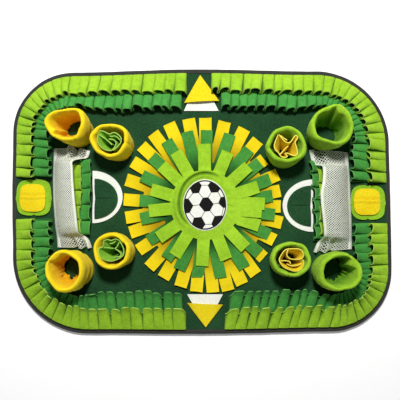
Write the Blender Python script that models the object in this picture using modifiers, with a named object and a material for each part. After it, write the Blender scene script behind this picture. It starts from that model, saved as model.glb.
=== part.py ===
"""A snuffle mat laid out as a football pitch, modelled as it is sewn.

A bound felt base carries pleated ruffles round its rim, fleece cups with
folded fleece in them, two goal nets over pleated strips, flat felt pockets
and a three-layer fringed rosette under a ball patch.

Metres, +Z up. The mat lies flat on z = 0 with the middle of its outline over
the origin, its long side along X and the pitch's top edge at +Y.
"""

import bisect
import math
import random

import bmesh
import bpy
from mathutils import Vector

# ---------------------------------------------------------------- sizes
GAP = 0.0003  # left between pieces that touch
FLEECE = 0.0016  # thickness of one layer of fleece
NET_CLOTH = 0.0012

MAT_TOP = 0.006
MAT_CORNERS = (  # x, y where the sides would meet, and the corner's radius
    (-0.3512, 0.2388, 0.112),
    (0.3458, 0.2425, 0.135),
    (0.3539, -0.2402, 0.113),
    (-0.3492, -0.2462, 0.140),
)
MAT_BOWS = (0.005, 0.0005, 0.0025, 0.0015)  # bulge of the top, right, bottom, left
ARC_STEPS = 9
SIDE_STEPS = 6

TAPE = 0.0012  # thickness of the binding tape
TAPE_COVER = 0.009  # how far the tape reaches in over the mat
RIM_SQUEEZE = 0.0015  # how far the tape presses the mat in on each face

SEWN_Z = MAT_TOP + GAP + FLEECE / 2  # middle of a layer that lies on the mat
LAYER_STEP = FLEECE + GAP

# Where one pleat is folded: its place along the strip and its share of the depth.
PLEAT_FOLDS = ((0.0, 0.0), (0.72, 0.95), (1.22, 0.84))
PLEAT_OVERHANG = 0.30  # how far the last fold passes its pleat, in pleats
PLEAT_LEAN = math.radians(40)  # the folds rise outwards at this angle from upright
PLEAT_ROWS = 2
RIM_PITCH = 0.020
OUTER_INSET = 0.0098
INNER_INSET = 0.0400
RUFFLES = (
    # name, start x, y, end x, y (clockwise), inset, which way the pleats lap
    ("ruffle_outer_top_left", -0.337, 0.043, -0.028, 0.218, OUTER_INSET, -1),
    ("ruffle_outer_top_right", 0.0185, 0.218, 0.331, 0.0325, OUTER_INSET, 1),
    ("ruffle_outer_bottom_right", 0.330, -0.040, 0.042, -0.224, OUTER_INSET, -1),
    ("ruffle_outer_bottom_left", -0.029, -0.220, -0.337, -0.032, OUTER_INSET, 1),
    ("ruffle_inner_top_left", -0.300, 0.044, -0.037, 0.184, INNER_INSET, -1),
    ("ruffle_inner_top_right", 0.036, 0.184, 0.294, 0.034, INNER_INSET, 1),
    ("ruffle_inner_bottom_right", 0.293, -0.040, 0.050, -0.174, INNER_INSET, -1),
    ("ruffle_inner_bottom_left", -0.036, -0.178, -0.296, -0.032, INNER_INSET, 1),
)
RIM_RUFFLE = {"reach": 0.0374, "rise": 0.009, "depth": 0.014}

GOAL_PITCH = 0.026
GOAL_RUFFLE = {"reach": 0.0215, "rise": 0.0075, "depth": 0.008}
GOAL_RUFFLES = (
    # name, sewn x, start y, end y
    ("goal_lime_left", -0.2435, -0.060, 0.071),
    ("goal_green_left", -0.2280, -0.058, 0.074),
    ("goal_lime_right", 0.2310, 0.059, -0.068),
    ("goal_green_right", 0.2165, 0.060, -0.068),
)

CUP_SIDES = 20
CUP_PROFILE = (
    # share of the rim's radius, share of the height, and how much of the
    # rim's uneven shape is felt there: down the outside, then up the inside
    (0.84, 0.00, 0.3),
    (0.92, 0.35, 0.6),
    (1.00, 0.82, 1.0),
    (0.98, 0.96, 1.0),
    (0.89, 1.00, 1.0),
    (0.80, 0.94, 1.0),
    (0.76, 0.70, 0.9),
    (0.62, 0.30, 0.5),
    (0.50, 0.00, 0.3),
)
BIG_CUP_HEIGHT = 0.062
SMALL_CUP_HEIGHT = 0.052
CUPS = (
    # name, foot x, y, rim x, y, rim half width x, y, bulge of three corners
    # and the bearing in degrees of one of them, height
    ("cup_big_top_left", -0.2350, 0.1340, -0.2395, 0.1325, 0.0350, 0.0290, 0.07, 45, BIG_CUP_HEIGHT),
    ("cup_big_top_right", 0.2260, 0.1290, 0.2280, 0.1295, 0.0365, 0.0350, 0.05, 75, BIG_CUP_HEIGHT),
    ("cup_big_bottom_left", -0.2335, -0.1280, -0.2405, -0.1275, 0.0325, 0.0370, 0.03, 30, BIG_CUP_HEIGHT),
    ("cup_big_bottom_right", 0.2370, -0.1285, 0.2415, -0.1280, 0.0365, 0.0345, 0.02, 100, BIG_CUP_HEIGHT),
    ("cup_small_top_left", -0.1590, 0.1040, -0.1640, 0.1035, 0.0340, 0.0310, 0.04, 40, SMALL_CUP_HEIGHT),
    ("cup_small_top_right", 0.1500, 0.0950, 0.1483, 0.0965, 0.0360, 0.0325, 0.03, 90, SMALL_CUP_HEIGHT),
    ("cup_small_bottom_left", -0.1545, -0.0930, -0.1600, -0.0920, 0.0315, 0.0330, 0.03, 0, SMALL_CUP_HEIGHT),
    ("cup_small_bottom_right", 0.1580, -0.1080, 0.1572, -0.1065, 0.0345, 0.0315, 0.02, 60, SMALL_CUP_HEIGHT),
)
# The inner ruffles are pushed off the cups: what lies this near a cup's foot
# is spread between its wall and the outer distance.
PUSH_FROM = 0.024
PUSH_TO = 0.0365
PUSH_END = 0.060

FILLING_SIDES = 26
FILLING_LOW = 0.0005  # foot and lip of a filling above the cup's foot
FILLING_HIGH = 0.045
FILLING_FOOT = 0.50  # radius at the foot, as a share of the lip's
FILLINGS = {
    # cup: lip of the folded fleece, as bearing in degrees and radius in mm
    "cup_small_top_left": (
        (8, 20), (32, 24.5), (60, 15), (88, 17), (122, 24), (150, 15),
        (180, 23.5), (212, 22), (250, 22), (278, 11), (305, 24), (338, 13),
    ),
    "cup_small_top_right": (
        (15, 12), (47, 25), (90, 9), (132, 25), (160, 15), (185, 22),
        (210, 17), (232, 24.5), (268, 10), (300, 23), (330, 24), (350, 19),
    ),
    "cup_small_bottom_left": (
        (0, 9), (25, 23), (60, 18), (90, 24), (125, 23), (155, 10),
        (180, 23), (215, 24), (250, 23.5), (275, 18), (300, 24), (335, 23),
    ),
    "cup_small_bottom_right": (
        (10, 23), (40, 24), (70, 22), (98, 14), (125, 23), (160, 22),
        (188, 11), (215, 22), (245, 23.5), (275, 21), (305, 23), (345, 11),
    ),
}

NET_COLUMNS = 5
NETS = {
    # A row for each section across the goal: the sewn outer edge's x and y,
    # the front edge's x, y and height, and the crown between them (mm).
    "goal_net_left": (
        (-274.0, 96, -208.0, 93, 1, 22),
        (-273.5, 84, -213.0, 82, 12, 20),
        (-272.5, 70, -230.0, 70, 30, 11),
        (-270.5, 36, -230.0, 36, 35, 8),
        (-268.5, 2, -227.0, 2, 36, 7),
        (-267.5, -20, -223.5, -18, 36, 7),
        (-266.0, -50, -223.5, -50, 34, 8),
        (-265.5, -66, -219.0, -64, 24, 10),
        (-265.0, -77, -208.0, -77, 9, 13),
        (-265.0, -87, -204.5, -87, 1, 11),
    ),
    "goal_net_right": (
        (277.5, -87, 209.0, -92, 1, 9),
        (277.3, -79, 217.0, -82, 9, 12),
        (277.0, -68, 221.0, -68, 24, 10),
        (276.0, -45, 216.0, -45, 34, 8),
        (274.5, -20, 213.0, -20, 36, 8),
        (273.5, 4, 212.0, 4, 36, 8),
        (273.0, 30, 214.0, 30, 34, 9),
        (272.7, 60, 218.0, 60, 29, 11),
        (272.3, 76, 206.0, 80, 12, 19),
        (272.0, 87, 200.0, 92, 1, 20),
    ),
}

HALF_ROUNDS = (
    # name, straight side's x, middle y, bulge in x (signed), half height, layer
    ("half_round_white_left", -0.2030, 0.0073, 0.0557, 0.0485, 0),
    ("half_round_green_left", -0.1985, 0.0038, 0.0430, 0.0365, 1),
    ("half_round_white_right", 0.2045, -0.0088, -0.0565, 0.0485, 0),
    ("half_round_green_right", 0.1999, -0.0096, -0.0440, 0.0370, 1),
)
MOUTH_KINK = 0.0012  # the straight side dips in at its middle

SQUARES = (
    # name, middle x, y, width, height, layer
    ("square_lime_left", -0.3104, 0.0059, 0.0632, 0.0670, 0),
    ("square_yellow_left", -0.3120, 0.0052, 0.0463, 0.0512, 1),
    ("square_lime_right", 0.3074, -0.0031, 0.0622, 0.0640, 0),
    ("square_yellow_right", 0.3052, -0.0021, 0.0479, 0.0485, 1),
)
SQUARE_POWER = 3.6  # 2 is an ellipse, and a higher power is squarer

TRIANGLES = (
    # name, point x, y, base left x, y, base right x, y, layer, lift of the base
    ("triangle_white_top", -0.0030, 0.2340, -0.0330, 0.1673, 0.0315, 0.1673, 0, 0.0),
    ("triangle_yellow_top", -0.0030, 0.2335, -0.0320, 0.1815, 0.0320, 0.1850, 1, 0.006),
    ("triangle_white_bottom", 0.0073, -0.2333, -0.0268, -0.1726, 0.0390, -0.1726, 0, 0.0),
    ("triangle_yellow_bottom", 0.0073, -0.2328, -0.0262, -0.1885, 0.0385, -0.1915, 1, 0.005),
)

ROSETTE = (0.0067, -0.0082)  # its middle
ROSETTE_LAYERS = (
    # name, colour, radius where the slits end, strip width, lift of the tips
    ("rosette_yellow", "yellow", 0.116, 0.0235, 0.0025),
    ("rosette_green", "green", 0.080, 0.0225, 0.0025),
    ("rosette_lime", "lime", 0.062, 0.0230, 0.0035),
)
STRIPS = {
    # One strip each, clockwise: bearing in degrees and reach in mm.
    "rosette_yellow": (
        (101, 163), (90, 162), (77, 159), (63, 159), (51, 155), (38, 138),
        (23, 146), (11, 141), (-1, 139), (-13, 145), (-27, 143), (-42, 145),
        (-54, 158), (-65, 161), (-75, 163), (-85, 161), (-96, 160), (-107, 157),
        (-120, 155), (-132, 155), (-146, 149), (-160, 148), (-171, 149),
        (176, 151), (162, 154), (149, 157), (137, 162), (126, 165), (114, 166),
    ),
    "rosette_green": (
        (89, 139), (71, 139), (52, 131), (38, 128), (22, 129), (8, 125),
        (-8, 129), (-25, 130), (-42, 133), (-58, 136), (-78, 137), (-96, 134),
        (-112, 128), (-126, 122), (-148, 123), (-168, 122), (176, 122),
        (155, 129), (138, 134), (121, 139), (104, 140),
    ),
    "rosette_lime": (
        (90, 113), (68, 107), (43, 106), (20, 102), (4, 109), (-11, 103),
        (-25, 107), (-47, 109), (-69, 107), (-93, 112), (-120, 108), (-145, 105),
        (-173, 104), (164, 104), (139, 109), (116, 112),
    ),
}
BALL_HALF_WIDTH = 0.0400
BALL_HALF_HEIGHT = 0.0454

COLOURS = {
    # base colour (linear) and roughness
    "field": ((0.020, 0.080, 0.035), 0.95),
    "tape": ((0.045, 0.048, 0.042), 0.80),
    "lime": ((0.310, 0.560, 0.050), 0.95),
    "green": ((0.060, 0.300, 0.060), 0.95),
    "yellow": ((0.870, 0.620, 0.015), 0.95),
    "white": ((0.850, 0.850, 0.820), 0.90),
    "net": ((0.600, 0.620, 0.520), 0.70),
}


# ---------------------------------------------------------------- scene
def clear_scene():
    for obj in list(bpy.data.objects):
        bpy.data.objects.remove(obj, do_unlink=True)


def fabric(name):
    """The material of one colour of cloth, made the first time it is asked for."""
    found = bpy.data.materials.get(name)
    if found:
        return found
    colour, roughness = COLOURS[name]
    material = bpy.data.materials.new(name)
    material.use_nodes = True
    shader = material.node_tree.nodes["Principled BSDF"]
    shader.inputs["Base Color"].default_value = (*colour, 1.0)
    shader.inputs["Roughness"].default_value = roughness
    shader.inputs["Metallic"].default_value = 0.0
    return material


def add_piece(name, bm, colour, smooth=True):
    """Turns a mesh under work into an object of the mat, with its own material copy."""
    mesh = bpy.data.meshes.new(name)
    bm.to_mesh(mesh)
    bm.free()
    mesh.materials.append(fabric(colour))
    if smooth:
        mesh.shade_smooth()
    piece = bpy.data.objects.new(name, mesh)
    MAT.objects.link(piece)
    return piece


def thicken(piece, thickness):
    """Gives a cloth surface its thickness, half on each side."""
    solidify = piece.modifiers.new("Thickness", "SOLIDIFY")
    solidify.thickness = thickness
    solidify.offset = 0.0


def grid(columns, rows, place, wrap_columns=False, wrap_rows=False):
    """A grid of columns x rows faces whose corners lie at place(column, row)."""
    bm = bmesh.new()
    bmesh.ops.create_grid(bm, x_segments=columns, y_segments=rows, size=0.5)
    for vert in bm.verts:
        column = round((vert.co.x + 0.5) * columns)
        row = round((vert.co.y + 0.5) * rows)
        if wrap_columns:
            column %= columns
        if wrap_rows:
            row %= rows
        vert.co = place(column, row)
    if wrap_columns or wrap_rows:
        bmesh.ops.remove_doubles(bm, verts=bm.verts, dist=1e-6)
        bmesh.ops.recalc_face_normals(bm, faces=bm.faces)
    return bm


def mix(a, b, share):
    return a + (b - a) * share


# ---------------------------------------------------------------- outline
class Path:
    """A line on the mat. Its inward side is on the right of the way it runs."""

    def __init__(self, points, closed):
        self.points = [Vector(point) for point in points]
        self.closed = closed
        ends = self.points[1:] + self.points[:1] if closed else self.points[1:]
        runs = [end - start for start, end in zip(self.points, ends)]
        self.reached = [0.0]
        for run in runs:
            self.reached.append(self.reached[-1] + run.length)
        self.length = self.reached[-1]
        if closed:
            self.points.append(self.points[0])
        self.inward = []
        for i in range(len(self.points)):
            before = runs[i - 1] if i or closed else runs[0]
            after = runs[i % len(runs)] if i < len(runs) or closed else runs[-1]
            along = before.normalized() + after.normalized()
            self.inward.append(Vector((along.y, -along.x)).normalized())

    def at(self, distance, inset):
        """The point this far along the line and this far in from it."""
        if self.closed:
            distance %= self.length
        i = min(bisect.bisect_right(self.reached, distance), len(self.points) - 1) - 1
        i = max(i, 0)
        share = (distance - self.reached[i]) / (self.reached[i + 1] - self.reached[i])
        inward = self.inward[i].lerp(self.inward[i + 1], share)
        return self.points[i].lerp(self.points[i + 1], share) + inward * inset

    def nearest(self, x, y):
        """How far along the line its point nearest to x, y lies."""
        steps = 2000
        distances = [self.length * i / steps for i in range(steps)]
        return min(distances, key=lambda d: (self.at(d, 0.0) - Vector((x, y))).length)


def mat_outline():
    """The mat's edge, clockwise from the top left corner: arcs and bowed sides."""
    corners = [Vector((x, y)) for x, y, _ in MAT_CORNERS]
    arcs = []
    for i, corner in enumerate(corners):
        radius = MAT_CORNERS[i][2]
        back = (corners[i - 1] - corner).normalized()
        ahead = (corners[(i + 1) % 4] - corner).normalized()
        half = back.angle(ahead) / 2
        centre = corner + (back + ahead).normalized() * radius / math.sin(half)
        start = corner + back * radius / math.tan(half) - centre
        turn = math.pi - 2 * half
        first = math.atan2(start.y, start.x)
        bearings = [first - turn * step / ARC_STEPS for step in range(ARC_STEPS + 1)]
        arcs.append([centre + radius * Vector((math.cos(b), math.sin(b))) for b in bearings])
    points = []
    for i, arc in enumerate(arcs):
        points += arc
        side = arcs[(i + 1) % 4][0] - arc[-1]
        outward = Vector((-side.y, side.x)).normalized()
        for step in range(1, SIDE_STEPS):
            share = step / SIDE_STEPS
            bow = MAT_BOWS[i] * math.sin(math.pi * share) ** 2
            points.append(arc[-1] + side * share + outward * bow)
    low = Vector((min(p.x for p in points), min(p.y for p in points)))
    high = Vector((max(p.x for p in points), max(p.y for p in points)))
    return [point - (low + high) / 2 for point in points]


def make_base():
    """The felt base: a slab whose rim is pressed thinner inside the tape."""
    rim_low = RIM_SQUEEZE
    rim_high = MAT_TOP - RIM_SQUEEZE
    bm = bmesh.new()
    inset = TAPE + GAP
    corners = [EDGE.at(distance, inset) for distance in EDGE.reached[:-1]]
    rim = bm.faces.new([bm.verts.new((*corner, rim_low)) for corner in corners])
    made = bmesh.ops.extrude_face_region(bm, geom=[rim], use_keep_orig=True)["geom"]
    upper = next(item for item in made if isinstance(item, bmesh.types.BMFace))
    bmesh.ops.translate(bm, verts=upper.verts, vec=(0, 0, rim_high - rim_low))
    bmesh.ops.recalc_face_normals(bm, faces=bm.faces)
    for face, up in ((upper, 1), (rim, -1)):
        width = TAPE_COVER + GAP - inset
        bmesh.ops.inset_region(bm, faces=[face], thickness=width, use_even_offset=True)
        made = bmesh.ops.extrude_face_region(bm, geom=[face])["geom"]
        raised = [item for item in made if isinstance(item, bmesh.types.BMVert)]
        bmesh.ops.translate(bm, verts=raised, vec=(0, 0, up * RIM_SQUEEZE))
        bmesh.ops.delete(bm, geom=[face], context="FACES_ONLY")
    bmesh.ops.recalc_face_normals(bm, faces=bm.faces)
    add_piece("mat_base", bm, "field", smooth=False)


def make_binding():
    """The tape folded over the mat's edge: one C-shaped section all round."""
    cover, top = TAPE_COVER, MAT_TOP
    section = (  # inset from the outline, height
        (cover, top),
        (0.0022, top),
        (0.0005, top - 0.0010),
        (0.0, top / 2),
        (0.0005, 0.0010),
        (0.0022, 0.0),
        (cover, 0.0),
        (cover, TAPE),
        (TAPE, TAPE),
        (TAPE, top - TAPE),
        (cover, top - TAPE),
    )
    stations = EDGE.reached[:-1]

    def place(column, row):
        inset, height = section[row]
        return (*EDGE.at(stations[column], inset), height)

    bm = grid(len(stations), len(section), place, wrap_columns=True, wrap_rows=True)
    add_piece("binding", bm, "tape")


# ---------------------------------------------------------------- ruffles
def pushed_off_cups(point):
    """Moves a point of a ruffle out of the space that a big cup takes."""
    for name, x, y, *_ in CUPS:
        if "big" not in name:
            continue
        away = point - Vector((x, y))
        if away.length < PUSH_END:
            share = (away.length - PUSH_FROM) / (PUSH_END - PUSH_FROM)
            return Vector((x, y)) + away.normalized() * mix(PUSH_TO, PUSH_END, share)
    return point


def make_ruffle(name, path, start, end, inset, lap, pitch, form, colour):
    """A knife-pleated strip, sewn along one edge and standing at the other."""
    chance = random.Random(name)
    run = end - start
    pleats = round(run / pitch)
    step = run / (pleats + PLEAT_OVERHANG)
    folds = len(PLEAT_FOLDS)
    columns = pleats * folds
    slips = [chance.uniform(-0.10, 0.10) for _ in range(pleats + 1)]
    sizes = [chance.uniform(0.82, 1.12) for _ in range(pleats + 1)]

    def place(column, row):
        pleat, fold = divmod(column, folds)
        along, depth = PLEAT_FOLDS[fold]
        across = row / PLEAT_ROWS
        inner = 0 < column < columns
        folded = pleat + along + (slips[pleat] if inner else 0.0)
        share = mix(column / folds, folded, across**0.7)
        stands = form["depth"] * depth * sizes[pleat] * across**1.3
        walked = start + share * step if lap > 0 else end - share * step
        reach = form["reach"] * across - math.sin(PLEAT_LEAN) * stands
        point = path.at(walked, inset + reach)
        height = SEWN_Z + form["rise"] * across**2 + math.cos(PLEAT_LEAN) * stands
        return (*pushed_off_cups(point), height)

    piece = add_piece(name, grid(columns, PLEAT_ROWS, place), colour)
    thicken(piece, FLEECE)


def make_ruffles():
    for name, x0, y0, x1, y1, inset, lap in RUFFLES:
        start = EDGE.nearest(x0, y0)
        end = EDGE.nearest(x1, y1)
        if end < start:
            end += EDGE.length
        colour = "lime" if inset == OUTER_INSET else "green"
        make_ruffle(name, EDGE, start, end, inset, lap, RIM_PITCH, RIM_RUFFLE, colour)
    for name, x, y0, y1 in GOAL_RUFFLES:
        path = Path([(x, y0), (x, y1)], closed=False)
        colour = "lime" if "lime" in name else "green"
        make_ruffle(name, path, 0.0, path.length, 0.0, 1, GOAL_PITCH, GOAL_RUFFLE, colour)


# ---------------------------------------------------------------- cups
def cup_point(cup, bearing, share, height_share, uneven):
    """A point on a cup: its centre leans from foot to rim, its shape is the rim's."""
    _, foot_x, foot_y, rim_x, rim_y, half_x, half_y, bulge, corner, height = cup
    mean = (half_x + half_y) / 2
    stretched = math.hypot(half_x * math.cos(bearing), half_y * math.sin(bearing))
    stretched += mean * bulge * math.cos(3 * (bearing - math.radians(corner)))
    radius = mix(mean, stretched, uneven) * share
    return (
        mix(foot_x, rim_x, height_share) + radius * math.cos(bearing),
        mix(foot_y, rim_y, height_share) + radius * math.sin(bearing),
        MAT_TOP + GAP + height * height_share,
    )


def make_cup(cup):
    """A turned double wall with a soft rim, narrowing inside to its foot."""

    def place(column, row):
        share, height_share, uneven = CUP_PROFILE[row]
        return cup_point(cup, math.tau * column / CUP_SIDES, share, height_share, uneven)

    bm = grid(CUP_SIDES, len(CUP_PROFILE), place, wrap_columns=True, wrap_rows=True)
    add_piece(cup[0], bm, "yellow" if "left" in cup[0] else "lime")


def lip_radius(lip, bearing):
    """The radius of a filling's lip at a bearing, eased between its folds."""
    degrees = math.degrees(bearing) % 360
    rows = [(lip[-1][0] - 360, lip[-1][1]), *lip, (lip[0][0] + 360, lip[0][1])]
    for (b0, r0), (b1, r1) in zip(rows, rows[1:]):
        if b0 <= degrees <= b1:
            share = (degrees - b0) / (b1 - b0)
            return mix(r0, r1, share * share * (3 - 2 * share)) / 1000
    return rows[-1][1] / 1000


def make_filling(cup):
    """A disc of fleece pushed into the cup: folds at the lip, drawn in at the foot."""
    name, foot_x, foot_y, rim_x, rim_y, *_, height = cup
    lip = FILLINGS[name]
    rows = 3

    def place(column, row):
        bearing = math.tau * column / FILLING_SIDES
        rise = row / rows
        level = mix(FILLING_LOW, FILLING_HIGH, rise)
        foot = 0.009 + 0.15 * lip_radius(lip, bearing)
        radius = mix(foot, lip_radius(lip, bearing), rise**0.8)
        return (
            mix(foot_x, rim_x, level / height) + radius * math.cos(bearing),
            mix(foot_y, rim_y, level / height) + radius * math.sin(bearing),
            MAT_TOP + GAP + level,
        )

    colour = "green" if "left" in name else "yellow"
    bm = grid(FILLING_SIDES, rows, place, wrap_columns=True)
    thicken(add_piece(name.replace("cup_small", "filling"), bm, colour), FLEECE)


# ---------------------------------------------------------------- goals
def make_net(name, sections):
    """A net sewn down at its back and its two front corners, open at its front."""

    def place(column, row):
        back_x, back_y, front_x, front_y, front_z, crown = sections[row]
        across = column / NET_COLUMNS
        height = front_z * math.sin(math.pi / 2 * across) + crown * math.sin(math.pi * across)
        x = mix(back_x, front_x, across) / 1000
        y = mix(back_y, front_y, across) / 1000
        return (x, y, MAT_TOP + GAP + NET_CLOTH / 2 + height / 1000)

    bm = grid(NET_COLUMNS, len(sections) - 1, place)
    thicken(add_piece(name, bm, "net"), NET_CLOTH)


# ---------------------------------------------------------------- flat pieces
def make_flat(name, outline, layer, colour, lifts=None):
    """A flat piece of felt cut to an outline, on the mat or on the piece below it."""
    bm = bmesh.new()
    low = MAT_TOP + GAP + layer * LAYER_STEP
    lifts = lifts or [0.0] * len(outline)
    lower = [bm.verts.new((x, y, low + lift)) for (x, y), lift in zip(outline, lifts)]
    face = bm.faces.new(lower)
    made = bmesh.ops.extrude_face_region(bm, geom=[face], use_keep_orig=True)["geom"]
    upper = [item for item in made if isinstance(item, bmesh.types.BMVert)]
    bmesh.ops.translate(bm, verts=upper, vec=(0, 0, FLEECE))
    bmesh.ops.recalc_face_normals(bm, faces=bm.faces)
    add_piece(name, bm, colour, smooth=False)


def make_half_rounds():
    steps = 14
    for name, x, y, bulge, half, layer in HALF_ROUNDS:
        bearings = [math.pi * (step / steps - 0.5) for step in range(steps + 1)]
        outline = [(x + bulge * math.cos(b), y + half * math.sin(b)) for b in bearings]
        outline.append((x + math.copysign(MOUTH_KINK, bulge), y))
        make_flat(name, outline, layer, "white" if "white" in name else "field")


def make_squares():
    steps = 28
    for name, x, y, width, height, layer in SQUARES:
        outline = []
        for step in range(steps):
            bearing = math.tau * (step + 0.5) / steps
            c, s = math.cos(bearing), math.sin(bearing)
            size = (abs(c) ** SQUARE_POWER + abs(s) ** SQUARE_POWER) ** (-1 / SQUARE_POWER)
            outline.append((x + width / 2 * size * c, y + height / 2 * size * s))
        make_flat(name, outline, layer, "lime" if "lime" in name else "yellow")


def make_triangles():
    for name, px, py, lx, ly, rx, ry, layer, lift in TRIANGLES:
        outline = [(px, py), (lx, ly), (rx, ry)]
        lifts = [0.0, lift, lift]
        make_flat(name, outline, layer, "white" if "white" in name else "yellow", lifts)


# ---------------------------------------------------------------- rosette
def make_rosette_layer(layer, name, colour, root, width, lift):
    """A disc of fleece slit into strips: alternate rim edges are drawn out."""
    strips = STRIPS[name]
    height = SEWN_Z + layer * LAYER_STEP
    middle = Vector((*ROSETTE, height))
    bm = bmesh.new()
    count = len(strips)
    bmesh.ops.create_circle(bm, cap_ends=True, segments=2 * count, radius=root)
    rim = sorted(bm.verts, key=lambda vert: -math.atan2(vert.co.y, vert.co.x))
    first = math.radians(strips[0][0])
    share = width / (math.tau * root / count)
    for i, vert in enumerate(rim):
        side = -0.5 if i % 2 == 0 else 0.5
        bearing = first - math.tau / count * (i // 2 + side * min(share, 0.96))
        vert.co = middle + root * Vector((math.cos(bearing), math.sin(bearing), 0))
    edges = [bm.edges.get((rim[2 * i], rim[2 * i + 1])) for i in range(count)]
    stations = 2
    for edge, (bearing, reach) in zip(edges, strips):
        centre = (edge.verts[0].co + edge.verts[1].co) / 2
        tip = middle + reach / 1000 * Vector(
            (math.cos(math.radians(bearing)), math.sin(math.radians(bearing)), 0)
        )
        axis = (tip - centre).normalized()
        aside = Vector((-axis.y, axis.x, 0)) * width / 2
        root_left = max(edge.verts, key=lambda vert: (vert.co - centre).dot(aside))
        for step in range(1, stations + 1):
            out = step / stations
            made = bmesh.ops.extrude_edge_only(bm, edges=[edge])["geom"]
            edge = next(item for item in made if isinstance(item, bmesh.types.BMEdge))
            ends = sorted(edge.verts, key=lambda vert: (vert.co - root_left.co).length)
            level = centre.lerp(tip, out) + Vector((0, 0, lift * out * out))
            ends[0].co = level + aside
            ends[1].co = level - aside
            root_left = ends[0]
    bmesh.ops.recalc_face_normals(bm, faces=bm.faces)
    thicken(add_piece(name, bm, colour), FLEECE)


def make_rosette():
    for layer, (name, colour, root, width, lift) in enumerate(ROSETTE_LAYERS):
        make_rosette_layer(layer, name, colour, root, width, lift)
    steps = 32
    bearings = [math.tau * step / steps for step in range(steps)]
    outline = [
        (ROSETTE[0] + BALL_HALF_WIDTH * math.cos(b), ROSETTE[1] + BALL_HALF_HEIGHT * math.sin(b))
        for b in bearings
    ]
    make_flat("ball_patch", outline, len(ROSETTE_LAYERS), "white")


clear_scene()
MAT = bpy.data.collections.new("Snuffle mat")
bpy.context.scene.collection.children.link(MAT)
EDGE = Path(mat_outline(), closed=True)
make_base()
make_binding()
make_ruffles()
for row in CUPS:
    make_cup(row)
    if row[0] in FILLINGS:
        make_filling(row)
for net_name, net_sections in NETS.items():
    make_net(net_name, net_sections)
make_half_rounds()
make_squares()
make_triangles()
make_rosette()
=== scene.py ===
"""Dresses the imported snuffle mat: fleece, felt, netting, tape and thread.

The mat is a football pitch seen from above. Each sub-assembly is a class that
knows its own sizes, builds its cloth and says what it stands for. Everything
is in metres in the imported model's frame: +X to the pitch's right, +Y to its
top, +Z up. The mat's underside is at z = 0, and the floor just below it.
"""

from __future__ import annotations

import bisect
import logging
import math
import random
from collections.abc import Callable, Iterator, Mapping, Sequence
from contextlib import contextmanager
from dataclasses import dataclass, replace
from enum import Enum
from typing import Any

import bpy
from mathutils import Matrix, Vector, noise

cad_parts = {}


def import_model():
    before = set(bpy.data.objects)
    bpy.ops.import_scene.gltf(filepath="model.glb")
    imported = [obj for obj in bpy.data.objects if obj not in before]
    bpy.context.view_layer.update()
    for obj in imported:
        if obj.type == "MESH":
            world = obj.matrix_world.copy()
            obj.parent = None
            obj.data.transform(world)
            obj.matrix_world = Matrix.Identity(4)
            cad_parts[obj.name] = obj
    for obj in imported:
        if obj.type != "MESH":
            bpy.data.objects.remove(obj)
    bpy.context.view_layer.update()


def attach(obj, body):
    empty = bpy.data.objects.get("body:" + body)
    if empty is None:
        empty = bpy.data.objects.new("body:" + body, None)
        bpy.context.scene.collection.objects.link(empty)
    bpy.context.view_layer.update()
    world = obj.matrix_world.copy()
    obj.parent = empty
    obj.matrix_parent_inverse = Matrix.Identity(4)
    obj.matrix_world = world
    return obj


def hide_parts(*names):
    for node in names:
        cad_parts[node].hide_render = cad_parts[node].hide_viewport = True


LOG = logging.getLogger("snuffle_mat")

Piece = bpy.types.Object
Place = Callable[[float, float], Vector]
Colour = tuple[float, float, float]
Tone = tuple[int, int, int]

MM = 0.001
TINY = 1e-6
# The mat's upper face, the air between two cloths and the fleece's thickness.
MAT_TOP = 6.0 * MM
CLEAR = 0.3 * MM
FLEECE = 1.6 * MM
LAYER = FLEECE + CLEAR
# The middle of a cloth sewn flat on the mat, and from there to the thread on it.
SEWN_Z = MAT_TOP + CLEAR + FLEECE / 2
THREAD_UP = FLEECE / 2 + 0.1 * MM
# The angle in degrees up to which cloth is shaded smoothly.
SMOOTH_ANGLE = 48.0
# How far a seed of 1 moves the noise each way, and what brings it to about -1 to 1.
NOISE_SHIFT = (7.3, -3.1, 1.7)
NOISE_GAIN = 1.6


def srgb(red: int, green: int, blue: int) -> Colour:
    """Turns a tone as it is seen on a screen, from 0 to 255, into a linear colour."""
    shares = (channel / 255 for channel in (red, green, blue))
    return tuple(s / 12.92 if s <= 0.04045 else ((s + 0.055) / 1.055) ** 2.4 for s in shares)


def seen(*tones: Tone) -> tuple[Colour, ...]:
    """Turns several tones into linear colours."""
    return tuple(srgb(*tone) for tone in tones)


def mix(a: Any, b: Any, share: float) -> Any:
    """Returns the value that lies this share of the way from a to b."""
    return a + (b - a) * share


def ease(share: float) -> float:
    """Returns a share from 0 to 1 eased at both ends."""
    share = min(max(share, 0.0), 1.0)
    return share * share * (3 - 2 * share)


def bump_at(offset: float, width: float) -> float:
    """Returns 1 at an offset of nought, falling off smoothly over the width."""
    return math.exp(-((offset / width) ** 2))


def unit(bearing: float) -> Vector:
    """Returns the flat direction at a bearing in radians."""
    return Vector((math.cos(bearing), math.sin(bearing)))


def degrees_off(bearing: float, middle: float) -> float:
    """Returns how far a bearing in radians lies from one in degrees, in degrees."""
    return (math.degrees(bearing) - middle + 180) % 360 - 180


def seed_of(name: str, span: int, step: int) -> float:
    """Returns a number below span / step for a piece's noise, from its name."""
    return sum(map(ord, name)) % span / step


def ripple(place: Vector, scale: float, seed: float) -> float:
    """Returns smooth noise from about -1 to 1 at a place.

    Args:
        place: Where, in metres.
        scale: How many ripples there are in a metre.
        seed: A number that moves the pattern.

    Returns:
        The noise there.
    """
    shift = Vector([seed * step for step in NOISE_SHIFT])
    return noise.noise(place * scale + shift) * NOISE_GAIN


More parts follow.
